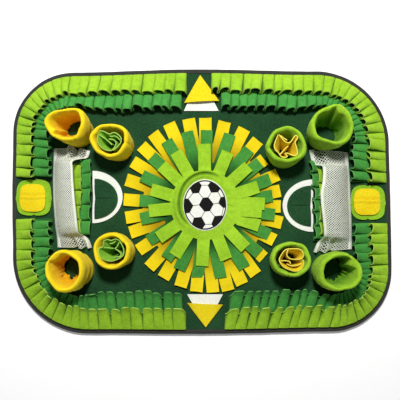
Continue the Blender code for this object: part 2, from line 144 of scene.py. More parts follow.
def spline(knots: Sequence[Sequence[float]], at: float, closed: bool = False) -> list[float]:
    """Reads a smooth curve through knots.

    Args:
        knots: Rows of numbers, spaced evenly along the curve.
        at: How far along, in knots.
        closed: Whether the curve runs on from the last knot to the first.

    Returns:
        The row of numbers there.
    """
    count = len(knots)
    if not closed:
        at = min(max(at, 0.0), count - 1 - TINY)
    first = math.floor(at)
    share = at - first

    def knot(i: int) -> Sequence[float]:
        """Returns a knot, going round or staying at the ends."""
        return knots[i % count] if closed else knots[min(max(i, 0), count - 1)]

    rows = (knot(first - 1), knot(first), knot(first + 1), knot(first + 2))
    return [
        b + 0.5 * share * (c - a + share * (2 * a - 5 * b + 4 * c - d + share * (3 * (b - c) + d - a)))
        for a, b, c, d in zip(*rows)
    ]


# ---- shading


class Signal:
    """A socket that takes Python arithmetic, each step as one Math node."""

    def __init__(self, board: Board, socket: bpy.types.NodeSocket) -> None:
        """Wraps a socket of a board."""
        self.board = board
        self.socket = socket

    def maths(self, operation: str, other: Signal | float) -> Signal:
        """Returns what a Math node of that operation makes of this value and another."""
        node = self.board.add("ShaderNodeMath", {"operation": operation}, {0: self, 1: other})
        return Signal(self.board, node.outputs[0])

    def __add__(self, other: Signal | float) -> Signal:
        """Adds."""
        return self.maths("ADD", other)

    def __mul__(self, other: Signal | float) -> Signal:
        """Multiplies."""
        return self.maths("MULTIPLY", other)

    __radd__ = __add__
    __rmul__ = __mul__

    def between(self, low: float, high: float) -> Signal:
        """Returns 0 at low and 1 at high, kept between the two."""
        spread = self.board.add(
            "ShaderNodeMapRange", {"clamp": True}, {"Value": self, "From Min": low, "From Max": high}
        )
        return Signal(self.board, spread.outputs["Result"])


class Board:
    """The node tree of one material."""

    # The sockets of a Mix node that take and give colours.
    MIX_SHARE, MIX_FIRST, MIX_SECOND, MIX_RESULT = 0, 6, 7, 2

    def __init__(self, name: str) -> None:
        """Makes a material of that name with a Principled shader."""
        self.material = bpy.data.materials.new(name)
        self.material.use_nodes = True
        self.tree = self.material.node_tree
        self.shader = self.tree.nodes["Principled BSDF"]

    def add(
        self,
        kind: str,
        settings: Mapping[str, Any] | None = None,
        inputs: Mapping[str | int, Any] | None = None,
    ) -> bpy.types.Node:
        """Adds a node.

        Args:
            kind: The node's type.
            settings: Its own settings, set first.
            inputs: A value or a link for each socket.

        Returns:
            The node.
        """
        node = self.tree.nodes.new(kind)
        for name, value in (settings or {}).items():
            setattr(node, name, value)
        for name, value in (inputs or {}).items():
            self.feed(node.inputs[name], value)
        return node

    def feed(self, socket: bpy.types.NodeSocket, value: Any) -> None:
        """Links a signal to a socket, or sets it to a number or a colour."""
        if isinstance(value, Signal):
            self.tree.links.new(value.socket, socket)
        else:
            if isinstance(value, tuple) and len(value) == 3 and socket.type == "RGBA":
                value = (*value, 1.0)
            socket.default_value = value

    def place(self) -> Signal:
        """Returns the place on the piece, in metres."""
        return Signal(self, self.add("ShaderNodeTexCoord").outputs["Object"])

    def along(self) -> Signal:
        """Returns the piece's own map, in metres along and across it."""
        node = self.add("ShaderNodeUVMap", {"uv_map": "UVMap"})
        return Signal(self, node.outputs["UV"])

    def stretched(self, place: Signal, scale: tuple[float, float, float]) -> Signal:
        """Returns a place with each direction multiplied."""
        node = self.add("ShaderNodeMapping", inputs={"Vector": place, "Scale": scale})
        return Signal(self, node.outputs["Vector"])

    def cloud(self, place: Signal, scale: float, detail: float = 2.0, rough: float = 0.55) -> Signal:
        """Returns smooth noise.

        Args:
            place: Where it is read.
            scale: Its features in a metre.
            detail: How many finer sizes it holds.
            rough: How strong the finer sizes are.

        Returns:
            The noise, mostly from 0.3 to 0.7.
        """
        node = self.add(
            "ShaderNodeTexNoise",
            inputs={"Vector": place, "Scale": scale, "Detail": detail, "Roughness": rough},
        )
        return Signal(self, node.outputs["Fac"])

    def wave(self, place: Signal, scale: float, axis: str, wobble: float = 0.0) -> Signal:
        """Returns a sine of a place along an axis, from 0 to 1, bent by a wobble."""
        node = self.add(
            "ShaderNodeTexWave",
            {"wave_type": "BANDS", "bands_direction": axis, "wave_profile": "SIN"},
            {"Vector": place, "Scale": scale, "Distortion": wobble, "Detail": 1.0},
        )
        return Signal(self, node.outputs["Fac"])

    def painted(self, name: str) -> Signal:
        """Returns a number painted on the piece's points, 0 where it has none."""
        return Signal(self, self.add("ShaderNodeAttribute", {"attribute_name": name}).outputs["Fac"])

    def blend(self, first: Colour | Signal, second: Colour | Signal, share: Signal) -> Signal:
        """Returns a colour between two."""
        inputs = {self.MIX_SHARE: share, self.MIX_FIRST: first, self.MIX_SECOND: second}
        node = self.add("ShaderNodeMix", {"data_type": "RGBA"}, inputs)
        return Signal(self, node.outputs[self.MIX_RESULT])

    def finish(
        self, colour: Signal, height: Signal, depth: float, strength: float, rough: float, **fixed: Any
    ) -> bpy.types.Material:
        """Feeds the shader.

        Args:
            colour: The base colour.
            height: The relief, from 0 to 1.
            depth: The relief's depth in metres.
            strength: How strongly the relief turns the light.
            rough: The roughness.
            fixed: Values that are the same all over, by the socket's name with _ for a space.

        Returns:
            The material.
        """
        relief = self.add(
            "ShaderNodeBump", inputs={"Strength": strength, "Distance": depth, "Height": height}
        )
        self.feed(self.shader.inputs["Base Color"], colour)
        self.feed(self.shader.inputs["Normal"], Signal(self, relief.outputs["Normal"]))
        self.shader.inputs["Roughness"].default_value = rough
        for name, value in fixed.items():
            self.feed(self.shader.inputs[name.replace("_", " ")], value)
        return self.material


class Slot(Enum):
    """The record's material slots."""

    FIELD = "field"
    TAPE = "tape"
    LIME = "lime"
    GREEN = "green"
    YELLOW = "yellow"
    WHITE = "white"
    NET = "net"
    BLACK = "black"


@dataclass(frozen=True)
class Finish:
    """What a piece is made of."""

    name: str
    slot: Slot

    def material(self) -> bpy.types.Material:
        """Returns this finish's material, made once."""
        return bpy.data.materials.get(self.name) or self.make(Board(self.name))

    def make(self, board: Board) -> bpy.types.Material:
        """Builds the material on a board."""
        raise NotImplementedError

    def cut_edge(self) -> Finish:
        """Returns the finish of the cloth's cut edge."""
        return self


def paler(colour: Colour, pale: Colour, share: float) -> Colour:
    """Returns a colour this share of the way to a paler one."""
    return tuple(mix(a, b, share) for a, b in zip(colour, pale))


# The painted shade that a piece's points carry, from 0 to 1.
PAINTED_SHADE = "crushed"


@dataclass(frozen=True)
class Fleece(Finish):
    """Brushed fleece: a matt nap with pills, worn a little paler on top."""

    colour: Colour
    deep: Colour
    sheen: Colour
    # The painted shade colour, down in a fold or a cup where the light does not reach.
    crushed: Colour | None = None
    # How many fibres, tufts, pills and worn patches there are in a metre.
    pile: float = 1500
    tufts: float = 420
    pills: float = 150
    patches: float = 21
    relief: float = 1.1 * MM

    def cut_edge(self) -> Finish:
        """Returns the finish of a cut edge, paler towards the sheen colour, with the deep colour as its
        painted shade.
        """
        return replace(
            self, name=f"{self.name}_cut_edge", crushed=self.deep,
            colour=paler(self.colour, self.sheen, 0.38), deep=paler(self.deep, self.sheen, 0.18),
        )

    def make(self, board: Board) -> bpy.types.Material:
        """Builds the nap."""
        place = board.place()
        pile = board.cloud(place, self.pile, 2, 0.6)
        tuft = board.cloud(place, self.tufts, 2, 0.6)
        pill = board.cloud(place, self.pills, 1, 0.5)
        wash = board.cloud(place, self.patches, 2, 0.5)
        nap = pile * 0.40 + tuft * 0.35 + pill * 0.25
        tone = (nap * 0.75 + wash * 0.25).between(0.34, 0.58)
        colour = board.blend(self.deep, self.colour, tone)
        # Painted shade: darker where the points are painted, in folds, cups and under the rosette's upper
        # layers.
        if self.crushed:
            colour = board.blend(colour, self.crushed, board.painted(PAINTED_SHADE))
        return board.finish(
            colour, nap, self.relief, 0.75, 0.96,
            Sheen_Weight=0.18, Sheen_Roughness=0.45, Sheen_Tint=self.sheen, Specular_IOR_Level=0.15,
        )


@dataclass(frozen=True)
class Felt(Finish):
    """Needled felt: short fibres in every direction and a few pale ones."""

    colour: Colour
    deep: Colour
    fibre: Colour
    # How many fibres each way, tufts and worn patches there are in a metre.
    across: float = 1500
    down: float = 1400
    tufts: float = 330
    patches: float = 17
    # How short the fibres' noise is along them, beside across them.
    drawn: float = 0.16
    relief: float = 0.5 * MM

    def cut_edge(self) -> Finish:
        """Returns the paler finish of a cut edge."""
        return replace(self, name=f"{self.name}_cut_edge", colour=paler(self.colour, self.fibre, 0.6))

    def make(self, board: Board) -> bpy.types.Material:
        """Builds the fibres."""
        place = board.place()
        across = board.cloud(board.stretched(place, (1.0, self.drawn, 1.0)), self.across, 1, 0.5)
        down = board.cloud(board.stretched(place, (self.drawn, 1.0, 1.0)), self.down, 1, 0.5)
        mat = board.cloud(place, self.tufts, 3, 0.6)
        wash = board.cloud(place, self.patches, 2, 0.5)
        fibres = across * 0.5 + down * 0.5
        tone = (mat * 0.6 + wash * 0.4).between(0.36, 0.62)
        body = board.blend(self.deep, self.colour, tone)
        colour = board.blend(body, self.fibre, fibres.between(0.60, 0.74) * 0.5)
        return board.finish(
            colour, fibres * 0.6 + mat * 0.4, self.relief, 0.55, 0.95,
            Sheen_Weight=0.08, Sheen_Tint=self.fibre, Specular_IOR_Level=0.15,
        )


@dataclass(frozen=True)
class Webbing(Finish):
    """Woven tape: fine ribs across its width, read from the piece's own map."""

    colour: Colour
    deep: Colour
    # How many ribs, fibres and worn patches there are in a metre.
    ribs: float = 330
    fibres: float = 1300
    patches: float = 34
    relief: float = 0.3 * MM

    def make(self, board: Board) -> bpy.types.Material:
        """Builds the ribs."""
        along = board.along()
        rib = board.wave(along, self.ribs, "X", 0.6)
        weft = board.wave(along, self.ribs * 0.9, "Y", 0.4)
        fuzz = board.cloud(board.place(), self.fibres, 2, 0.6)
        wear = board.cloud(board.place(), self.patches, 3, 0.6)
        weave = rib * 0.65 + weft * 0.35
        tone = (weave * 0.5 + fuzz * 0.2 + wear * 0.3).between(0.25, 0.75)
        return board.finish(
            board.blend(self.deep, self.colour, tone), weave, self.relief, 0.6, 0.82,
            Sheen_Weight=0.10, Specular_IOR_Level=0.25,
        )


@dataclass(frozen=True)
class Yarn(Finish):
    """Twisted yarn or thread."""

    colour: Colour
    deep: Colour
    rough: float = 0.7
    # How many turns and fibres there are in a metre.
    turns: float = 500
    fibres: float = 1800
    relief: float = 0.2 * MM

    def make(self, board: Board) -> bpy.types.Material:
        """Builds the twist."""
        place = board.place()
        twist = board.wave(board.stretched(place, (1.0, 0.7, 0.9)), self.turns, "DIAGONAL", 2.0)
        fuzz = board.cloud(place, self.fibres, 2, 0.6)
        tone = (twist * 0.4 + fuzz * 0.6).between(0.25, 0.7)
        return board.finish(
            board.blend(self.deep, self.colour, tone), twist, self.relief, 0.4, self.rough,
            Specular_IOR_Level=0.3,
        )


class Finishes:
    """Every finish on the mat, by its place in the making."""

    # The fourth tone of a fleece is its painted shade.
    LIME = Fleece(
        "lime_fleece", Slot.LIME, *seen((162, 206, 50), (116, 167, 26), (225, 245, 150), (44, 84, 14))
    )
    GREEN = Fleece(
        "green_fleece", Slot.GREEN, *seen((80, 162, 70), (46, 122, 48), (150, 215, 130), (8, 38, 16))
    )
    YELLOW = Fleece(
        "yellow_fleece", Slot.YELLOW, *seen((237, 213, 26), (220, 190, 11), (255, 246, 150), (150, 116, 8))
    )
    # Copies of the lime and green fleece toned for how the light falls on the rosette, as painted light and
    # shade: the green copy is darker, and the lime copy has a paler painted shade for the crease round the
    # patch.
    PETAL_LIME = replace(
        LIME, name="petal_lime_fleece",
        colour=srgb(161, 206, 48), deep=srgb(120, 170, 25), crushed=srgb(74, 116, 20),
    )
    PETAL_GREEN = replace(
        GREEN, name="petal_green_fleece", colour=srgb(75, 149, 60), deep=srgb(43, 110, 41)
    )
    # The cups' copies of the fleece, each with its own painted shade for the inner wall.
    CUP_LIME = replace(LIME, name="cup_lime_fleece", crushed=srgb(92, 146, 17))
    CUP_YELLOW = Fleece(
        "cup_yellow_fleece", Slot.YELLOW,
        *seen((248, 222, 34), (234, 198, 14), (255, 246, 150), (228, 172, 8)),
    )
    FOLDED = Fleece(
        "folded_green_fleece", Slot.GREEN, *seen((142, 194, 58), (100, 158, 38), (210, 238, 140))
    )
    FIELD = Felt("field_felt", Slot.FIELD, *seen((35, 75, 43), (21, 52, 30), (80, 123, 80)))
    WHITE = Felt("white_felt", Slot.WHITE, *seen((240, 241, 232), (218, 220, 208), (255, 255, 250)))
    PATCH_LIME = Felt("lime_felt", Slot.LIME, *seen((150, 196, 44), (116, 166, 26), (205, 228, 120)))
    PATCH_YELLOW = Felt(
        "yellow_felt", Slot.YELLOW, *seen((238, 217, 30), (222, 190, 12), (255, 242, 140))
    )
    BALL_BLACK = Felt("ball_black_felt", Slot.BLACK, *seen((28, 26, 25), (14, 14, 14), (66, 66, 64)))
    HEM = Felt("hem_tape", Slot.NET, *seen((238, 240, 228), (212, 214, 200), (255, 255, 250)))
    TAPE = Webbing("binding_tape", Slot.TAPE, *seen((60, 61, 54), (36, 38, 33)))
    NET = Yarn("net_yarn", Slot.NET, *seen((238, 240, 228), (205, 208, 192)))
    THREAD_GREY = Yarn("grey_thread", Slot.TAPE, *seen((110, 112, 106), (60, 62, 58)), 0.5)
    THREAD_GREEN = Yarn("green_thread", Slot.GREEN, *seen((60, 140, 62), (30, 90, 40)), 0.5)
    THREAD_LIME = Yarn("lime_thread", Slot.LIME, *seen((140, 190, 50), (100, 150, 30)), 0.5)
    THREAD_WHITE = Yarn("white_thread", Slot.WHITE, *seen((240, 240, 232), (200, 200, 190)), 0.5)
    THREAD_YELLOW = Yarn("yellow_thread", Slot.YELLOW, *seen((240, 205, 60), (205, 160, 20)), 0.5)


# ---- workbench


class Bench:
    """Adds, shapes and finishes cloth with Blender's own operators."""

    @staticmethod
    def deselect() -> None:
        """Deselects everything, before a primitive is added."""
        bpy.ops.object.select_all(action="DESELECT")

    @classmethod
    def select_only(cls, piece: Piece) -> None:
        """Selects one piece and makes it active."""
        cls.deselect()
        piece.select_set(True)
        bpy.context.view_layer.objects.active = piece

    @staticmethod
    @contextmanager
    def editing(piece: Piece) -> Iterator[None]:
        """Opens a piece in edit mode with all of it selected, and closes it again."""
        Bench.select_only(piece)
        bpy.ops.object.mode_set(mode="EDIT")
        bpy.ops.mesh.select_all(action="SELECT")
        yield
        bpy.ops.object.mode_set(mode="OBJECT")

    @staticmethod
    def named(name: str) -> Piece:
        """Names the primitive that was added last and returns it."""
        piece = bpy.context.object
        piece.name = piece.data.name = name
        return piece

    @classmethod
    def join(cls, parts: Sequence[Piece], name: str) -> Piece:
        """Joins parts to the first of them and returns it under a new name."""
        cls.select_only(parts[0])
        for part in parts[1:]:
            part.select_set(True)
        bpy.ops.object.join()
        return cls.named(name)

    @staticmethod
    def reshape(piece: Piece, place: Callable[[Vector], Vector]) -> None:
        """Moves every vertex of a piece to what place gives for where it is."""
        vertices = piece.data.vertices
        flat = [0.0] * (3 * len(vertices))
        vertices.foreach_get("co", flat)
        moved: list[float] = []
        for i in range(0, len(flat), 3):
            moved.extend(place(Vector(flat[i : i + 3])))
        vertices.foreach_set("co", moved)
        piece.data.update()

    @classmethod
    def weld(cls, piece: Piece) -> None:
        """Joins a piece's vertices that lie together and turns its faces outwards."""
        with cls.editing(piece):
            bpy.ops.mesh.remove_doubles(threshold=TINY)
            bpy.ops.mesh.normals_make_consistent(inside=False)

    @classmethod
    def cloth(
        cls, name: str, columns: int, rows: int, place: Place, size: tuple[float, float], weld: bool = False
    ) -> Piece:
        """Lays a grid and moves it to a surface.

        Args:
            name: The piece's name.
            columns: Faces along the first direction.
            rows: Faces along the second.
            place: The surface at a share of each direction.
            size: The cloth's size in metres, for its own map.
            weld: Whether edges of it meet and are joined.

        Returns:
            The piece.
        """
        cls.deselect()
        bpy.ops.mesh.primitive_grid_add(x_subdivisions=columns, y_subdivisions=rows, size=2)
        piece = cls.named(name)
        cls.reshape(piece, lambda at: place((at.x + 1) / 2, (at.y + 1) / 2))
        loops = piece.data.uv_layers[0].data
        flat = [0.0] * (2 * len(loops))
        loops.foreach_get("uv", flat)
        loops.foreach_set("uv", [x * size[i % 2] for i, x in enumerate(flat)])
        if weld:
            cls.weld(piece)
        return piece

    @staticmethod
    def crush(piece: Piece, shares: Sequence[float]) -> None:
        """Paints shade on each point of a piece, from 0 (none) to 1 (full)."""
        painted = piece.data.attributes.new(PAINTED_SHADE, "FLOAT", "POINT")
        painted.data.foreach_set("value", shares)

    @classmethod
    def modify(cls, piece: Piece, kind: str, **settings: Any) -> None:
        """Adds a modifier of a kind to a piece, with its settings, and applies it."""
        modifier = piece.modifiers.new(kind.title(), kind)
        for name, value in settings.items():
            setattr(modifier, name, value)
        cls.select_only(piece)
        bpy.ops.object.modifier_apply(modifier=modifier.name)

    @classmethod
    def thicken(cls, piece: Piece, thickness: float = FLEECE, finish: Finish | None = None) -> None:
        """Gives cloth its thickness, half on each side.

        Args:
            piece: The piece.
            thickness: How thick it becomes.
            finish: Its finish, where its cut edges are to be told from its faces.
        """
        if finish:
            for part in (finish, finish.cut_edge()):
                piece.data.materials.append(part.material())
        rim = 1 if finish else 0
        cls.modify(piece, "SOLIDIFY", thickness=thickness, offset=0.0, material_offset_rim=rim)

    @classmethod
    def smooth(cls, piece: Piece, degrees: float) -> None:
        """Shades a piece smoothly except over its cut edges."""
        cls.select_only(piece)
        bpy.ops.object.shade_smooth_by_angle(angle=math.radians(degrees))

    @classmethod
    def hand_over(
        cls, piece: Piece, finish: Finish, nodes: Sequence[str] = (), degrees: float = SMOOTH_ANGLE
    ) -> None:
        """Finishes a piece and fixes it to the mat.

        Args:
            piece: The piece.
            finish: What it is made of.
            nodes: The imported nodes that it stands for.
            degrees: The angle up to which it is shaded smoothly.
        """
        cls.smooth(piece, degrees)
        if not piece.data.materials:
            piece.data.materials.append(finish.material())
        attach(piece, "root")
        if nodes:
            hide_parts(*nodes)
        LOG.info("%s: %d faces", piece.name, len(piece.data.polygons))


@dataclass
class StitchRow:
    """A row of thread stitches along a line on the mat."""

    name: str
    points: Sequence[Vector]
    finish: Finish
    closed: bool = False
    stitch: float = 2.6 * MM
    pitch: float = 3.8 * MM
    thickness: float = 0.55 * MM

    @property
    def length(self) -> float:
        """The line's length."""
        ends = [*self.points, self.points[0]] if self.closed else self.points
        return sum((b - a).length for a, b in zip(ends, ends[1:]))

    def guide(self) -> Piece:
        """Draws the line as a curve."""
        bpy.ops.curve.primitive_bezier_curve_add()
        line = bpy.context.object
        line.data.splines.clear()
        run = line.data.splines.new("POLY")
        run.points.add(len(self.points) - 1)
        for knot, point in zip(run.points, self.points):
            knot.co = (*point, 1.0)
        run.use_cyclic_u = self.closed
        line.data.twist_mode = "Z_UP"
        return line

    def place(self, at: Vector) -> Vector:
        """Returns a point of the first stitch for one of a ball of width 1."""
        return Vector(((at.x + 0.5) * self.stitch, at.y * self.thickness, at.z * self.thickness))

    def build(self) -> None:
        """Models one stitch, repeats it and bends the row to its line."""
        Bench.deselect()
        bpy.ops.mesh.primitive_uv_sphere_add(
            segments=6, ring_count=4, radius=0.5, rotation=(0, math.pi / 2, 0)
        )
        piece = Bench.named(self.name)
        bpy.ops.object.transform_apply(location=True, rotation=True, scale=True)
        Bench.reshape(piece, self.place)
        line = self.guide()
        count = max(1, int(self.length / self.pitch))
        Bench.modify(
            piece, "ARRAY", count=count, use_relative_offset=False,
            use_constant_offset=True, constant_offset_displace=(self.length / count, 0, 0),
        )
        Bench.modify(piece, "CURVE", object=line, deform_axis="POS_X")
        bpy.data.objects.remove(line, do_unlink=True)
        Bench.hand_over(piece, self.finish, degrees=80.0)


# ---- outline


class Path:
    """A line on the mat whose inward side is on the right of the way it runs."""

    def __init__(self, points: Sequence[Vector], closed: bool) -> None:
        """Measures a line.

        Args:
            points: The points it runs through, flat on the mat.
            closed: Whether it returns to its first point.
        """
        self.points = [point.copy() for point in points]
        self.closed = closed
        ends = self.points[1:] + self.points[:1] if closed else self.points[1:]
        runs = [end - start for start, end in zip(self.points, ends)]
        self.reached = [0.0]
        for run in runs:
            self.reached.append(self.reached[-1] + run.length)
        self.length = self.reached[-1]
        if closed:
            self.points.append(self.points[0])
        self.inward: list[Vector] = []
        for i in range(len(self.points)):
            before = runs[i - 1] if i or closed else runs[0]
            after = runs[i % len(runs)] if i < len(runs) or closed else runs[-1]
            along = before.normalized() + after.normalized()
            self.inward.append(Vector((along.y, -along.x)).normalized())

    def at(self, distance: float, inset: float) -> Vector:
        """Returns the point this far along the line and this far in from it."""
        if self.closed:
            distance %= self.length
        i = min(bisect.bisect_right(self.reached, distance), len(self.points) - 1) - 1
        i = max(i, 0)
        share = (distance - self.reached[i]) / (self.reached[i + 1] - self.reached[i])
        inward = self.inward[i].lerp(self.inward[i + 1], share)
        return self.points[i].lerp(self.points[i + 1], share) + inward * inset

    def nearest(self, x: float, y: float) -> float:
        """Returns how far along the line its point nearest to x, y lies."""
        steps = 2000
        distances = [self.length * i / steps for i in range(steps)]
        return min(distances, key=lambda d: (self.at(d, 0.0) - Vector((x, y))).length)


@dataclass(frozen=True)
class Outline:
    """The mat's edge: four rounded corners joined by slightly bowed sides."""

    # Each corner's x and y, were it sharp, and its radius, then each side's bow.
    corners: tuple[tuple[float, float, float], ...] = (
        (-0.3518, 0.2390, 0.114),
        (0.3466, 0.2427, 0.137),
        (0.3545, -0.2418, 0.114),
        (-0.3500, -0.2478, 0.142),
    )
    bows: tuple[float, ...] = (0.005, 0.0005, 0.0025, 0.0015)
    arc_steps: int = 24
    side_steps: int = 20

    def arcs(self) -> list[list[Vector]]:
        """Returns the points round each corner."""
        corners = [Vector((x, y)) for x, y, _ in self.corners]
        arcs: list[list[Vector]] = []
        for i, corner in enumerate(corners):
            radius = self.corners[i][2]
            back = (corners[i - 1] - corner).normalized()
            ahead = (corners[(i + 1) % len(corners)] - corner).normalized()
            half = back.angle(ahead) / 2
            centre = corner + (back + ahead).normalized() * radius / math.sin(half)
            start = corner + back * radius / math.tan(half) - centre
            turn = math.pi - 2 * half
            first = math.atan2(start.y, start.x)
            bearings = [first - turn * step / self.arc_steps for step in range(self.arc_steps + 1)]
            arcs.append([centre + radius * unit(bearing) for bearing in bearings])
        return arcs

    def path(self) -> Path:
        """Returns the edge as a path, clockwise from the top left corner."""
        arcs = self.arcs()
        points: list[Vector] = []
        for i, arc in enumerate(arcs):
            points += arc
            side = arcs[(i + 1) % len(arcs)][0] - arc[-1]
            outward = Vector((-side.y, side.x)).normalized()
            for step in range(1, self.side_steps):
                share = step / self.side_steps
                bow = self.bows[i] * math.sin(math.pi * share) ** 2
                points.append(arc[-1] + side * share + outward * bow)
        low = Vector((min(p.x for p in points), min(p.y for p in points)))
        high = Vector((max(p.x for p in points), max(p.y for p in points)))
        return Path([point - (low + high) / 2 for point in points], closed=True)


EDGE = Outline().path()


# ---- base


@dataclass(frozen=True)
class Base:
    """The felt base and the tape that binds its edge."""

    # How far the tape reaches in on each face, its thickness and what it was cut to.
    cover: float = 9.0 * MM
    tape: float = 1.2 * MM
    tape_cut: float = 0.023
    # How far the tape squeezes the felt, and what that was cut to.
    squeeze: float = 1.6 * MM
    cut: tuple[float, float] = (0.70, 0.488)
    felt_stations: int = 256
    tape_stations: int = 320
    stitch_stations: int = 240

    def build(self) -> None:
        """Builds the base, its binding and the binding's stitches."""
        self.build_field()
        self.build_binding()

    def build_field(self) -> None:
        """Builds the felt slab, faintly uneven on top and flat below."""
        rim, squeeze = self.cover + 0.2 * MM, self.squeeze
        # Share of the way from the middle to the covered rim, inset, height.
        section = [
            (0.0, rim, 0.0), (0.5, rim, 0.0), (1.0, rim, 0.0), (1.0, rim - 0.6 * MM, squeeze),
            (1.0, 2.0 * MM, squeeze), (1.0, 2.0 * MM, MAT_TOP - squeeze),
            (1.0, rim - 0.6 * MM, MAT_TOP - squeeze), (1.0, rim, MAT_TOP - 0.2 * MM),
            (0.985, rim, MAT_TOP), *[(share / 16, rim, MAT_TOP) for share in range(15, -1, -1)],
        ]
        rows = len(section) - 1

        def place(u: float, v: float) -> Vector:
            """Returns the point at a share round the mat and of the section."""
            share, inset, height = section[round(v * rows)]
            point = EDGE.at(EDGE.length * u, inset) * share
            top = height == MAT_TOP
            sway = 0.25 * MM * ripple(point.to_3d(), 9, 3.0) - 0.25 * MM if top else 0.0
            return Vector((*point, height + sway))

        size = (EDGE.length, 0.5)
        piece = Bench.cloth("base_felt", self.felt_stations, rows, place, size, weld=True)
        Bench.hand_over(piece, Finishes.FIELD, ["mat_base"], 35.0)

    def build_binding(self) -> None:
        """Builds the tape, folded over the edge and a little puckered."""
        cover, top, tape = self.cover, MAT_TOP, self.tape
        # Inset and height, from the upper face's inner edge over the mat's edge and back inside.
        section = [
            (cover, top - 0.35 * MM), (cover - 0.35 * MM, top), (cover * 0.72, top), (cover * 0.45, top),
            (2.4 * MM, top - 0.05 * MM), (1.2 * MM, top - 0.45 * MM), (0.35 * MM, top - 1.4 * MM),
            (0.0, top / 2), (0.35 * MM, 1.4 * MM), (1.2 * MM, 0.45 * MM), (2.4 * MM, 0.0),
            (cover * 0.5, 0.0), (cover, 0.0), (cover, tape), (2.0 * MM, tape), (tape, 1.6 * MM),
            (tape, top - 1.6 * MM), (2.0 * MM, top - tape), (cover, top - tape),
        ]
        rows = len(section)

        def place(u: float, v: float) -> Vector:
            """Returns the point at a share round the mat and of the section."""
            inset, height = section[round(v * rows) % rows]
            distance = EDGE.length * (u % 1.0)
            point = EDGE.at(distance, inset)
            here = point.to_3d()
            if height > top * 0.6:
                height += 0.22 * MM * ripple(here, 75, 1.0) - 0.18 * MM
            if inset > cover * 0.9:
                point = EDGE.at(distance, inset + 0.5 * MM * ripple(here, 32, 2.0))
            elif inset < 1.5 * MM:
                point = EDGE.at(distance, inset + 0.25 * MM * (1 + ripple(here, 40, 4.0)))
            return Vector((*point, height))

        size = (EDGE.length, 0.032)
        piece = Bench.cloth("edge_binding", self.tape_stations, rows, place, size, weld=True)
        Bench.hand_over(piece, Finishes.TAPE, ["binding"], 60.0)
        EDGE.length
        steps = self.stitch_stations
        flat = [EDGE.at(EDGE.length * i / steps, cover - 1.6 * MM) for i in range(steps)]
        line = [Vector((*point, top - 0.05 * MM)) for point in flat]
        StitchRow("binding_stitches", line, Finishes.THREAD_GREY, closed=True).build()


# ---- ruffles


@dataclass(frozen=True)
class PleatForm:
    """How one strip's pleats stand."""

    # How far the strip reaches in, how high its free edge rises, how deep its
    # pleats are and how far apart.
    reach: float
    rise: float
    depth: float
    pitch: float
    # How far the pleats lean back, in degrees, where the strip runs along a
    # side of the mat, and along its top or bottom.
    side_lean: float = 20.0
    lean: float = 20.0
    # How much further it reaches along the top or bottom, how far the valleys
    # between its pleats draw back there, and how far its free edge turns up.
    longer: float = 0.0
    valley: float = 0.0
    lip: float = 0.0
    # How rounded its pleats are there, from 0 to 1.
    softness: float = 0.0
    # How much of a pleat the last one runs on.
    overhang: float = 0.10


OUTER_FORM = PleatForm(reach=36.0 * MM, rise=9.0 * MM, depth=13.5 * MM, pitch=19.6 * MM)
INNER_FORM = replace(OUTER_FORM, pitch=17.4 * MM)
LEFT_GOAL_FORM = PleatForm(20.5 * MM, 7.5 * MM, 6.5 * MM, 26.0 * MM, side_lean=12)
RIGHT_GOAL_FORM = PleatForm(19.5 * MM, 7.0 * MM, 9.5 * MM, 26.0 * MM, side_lean=24)


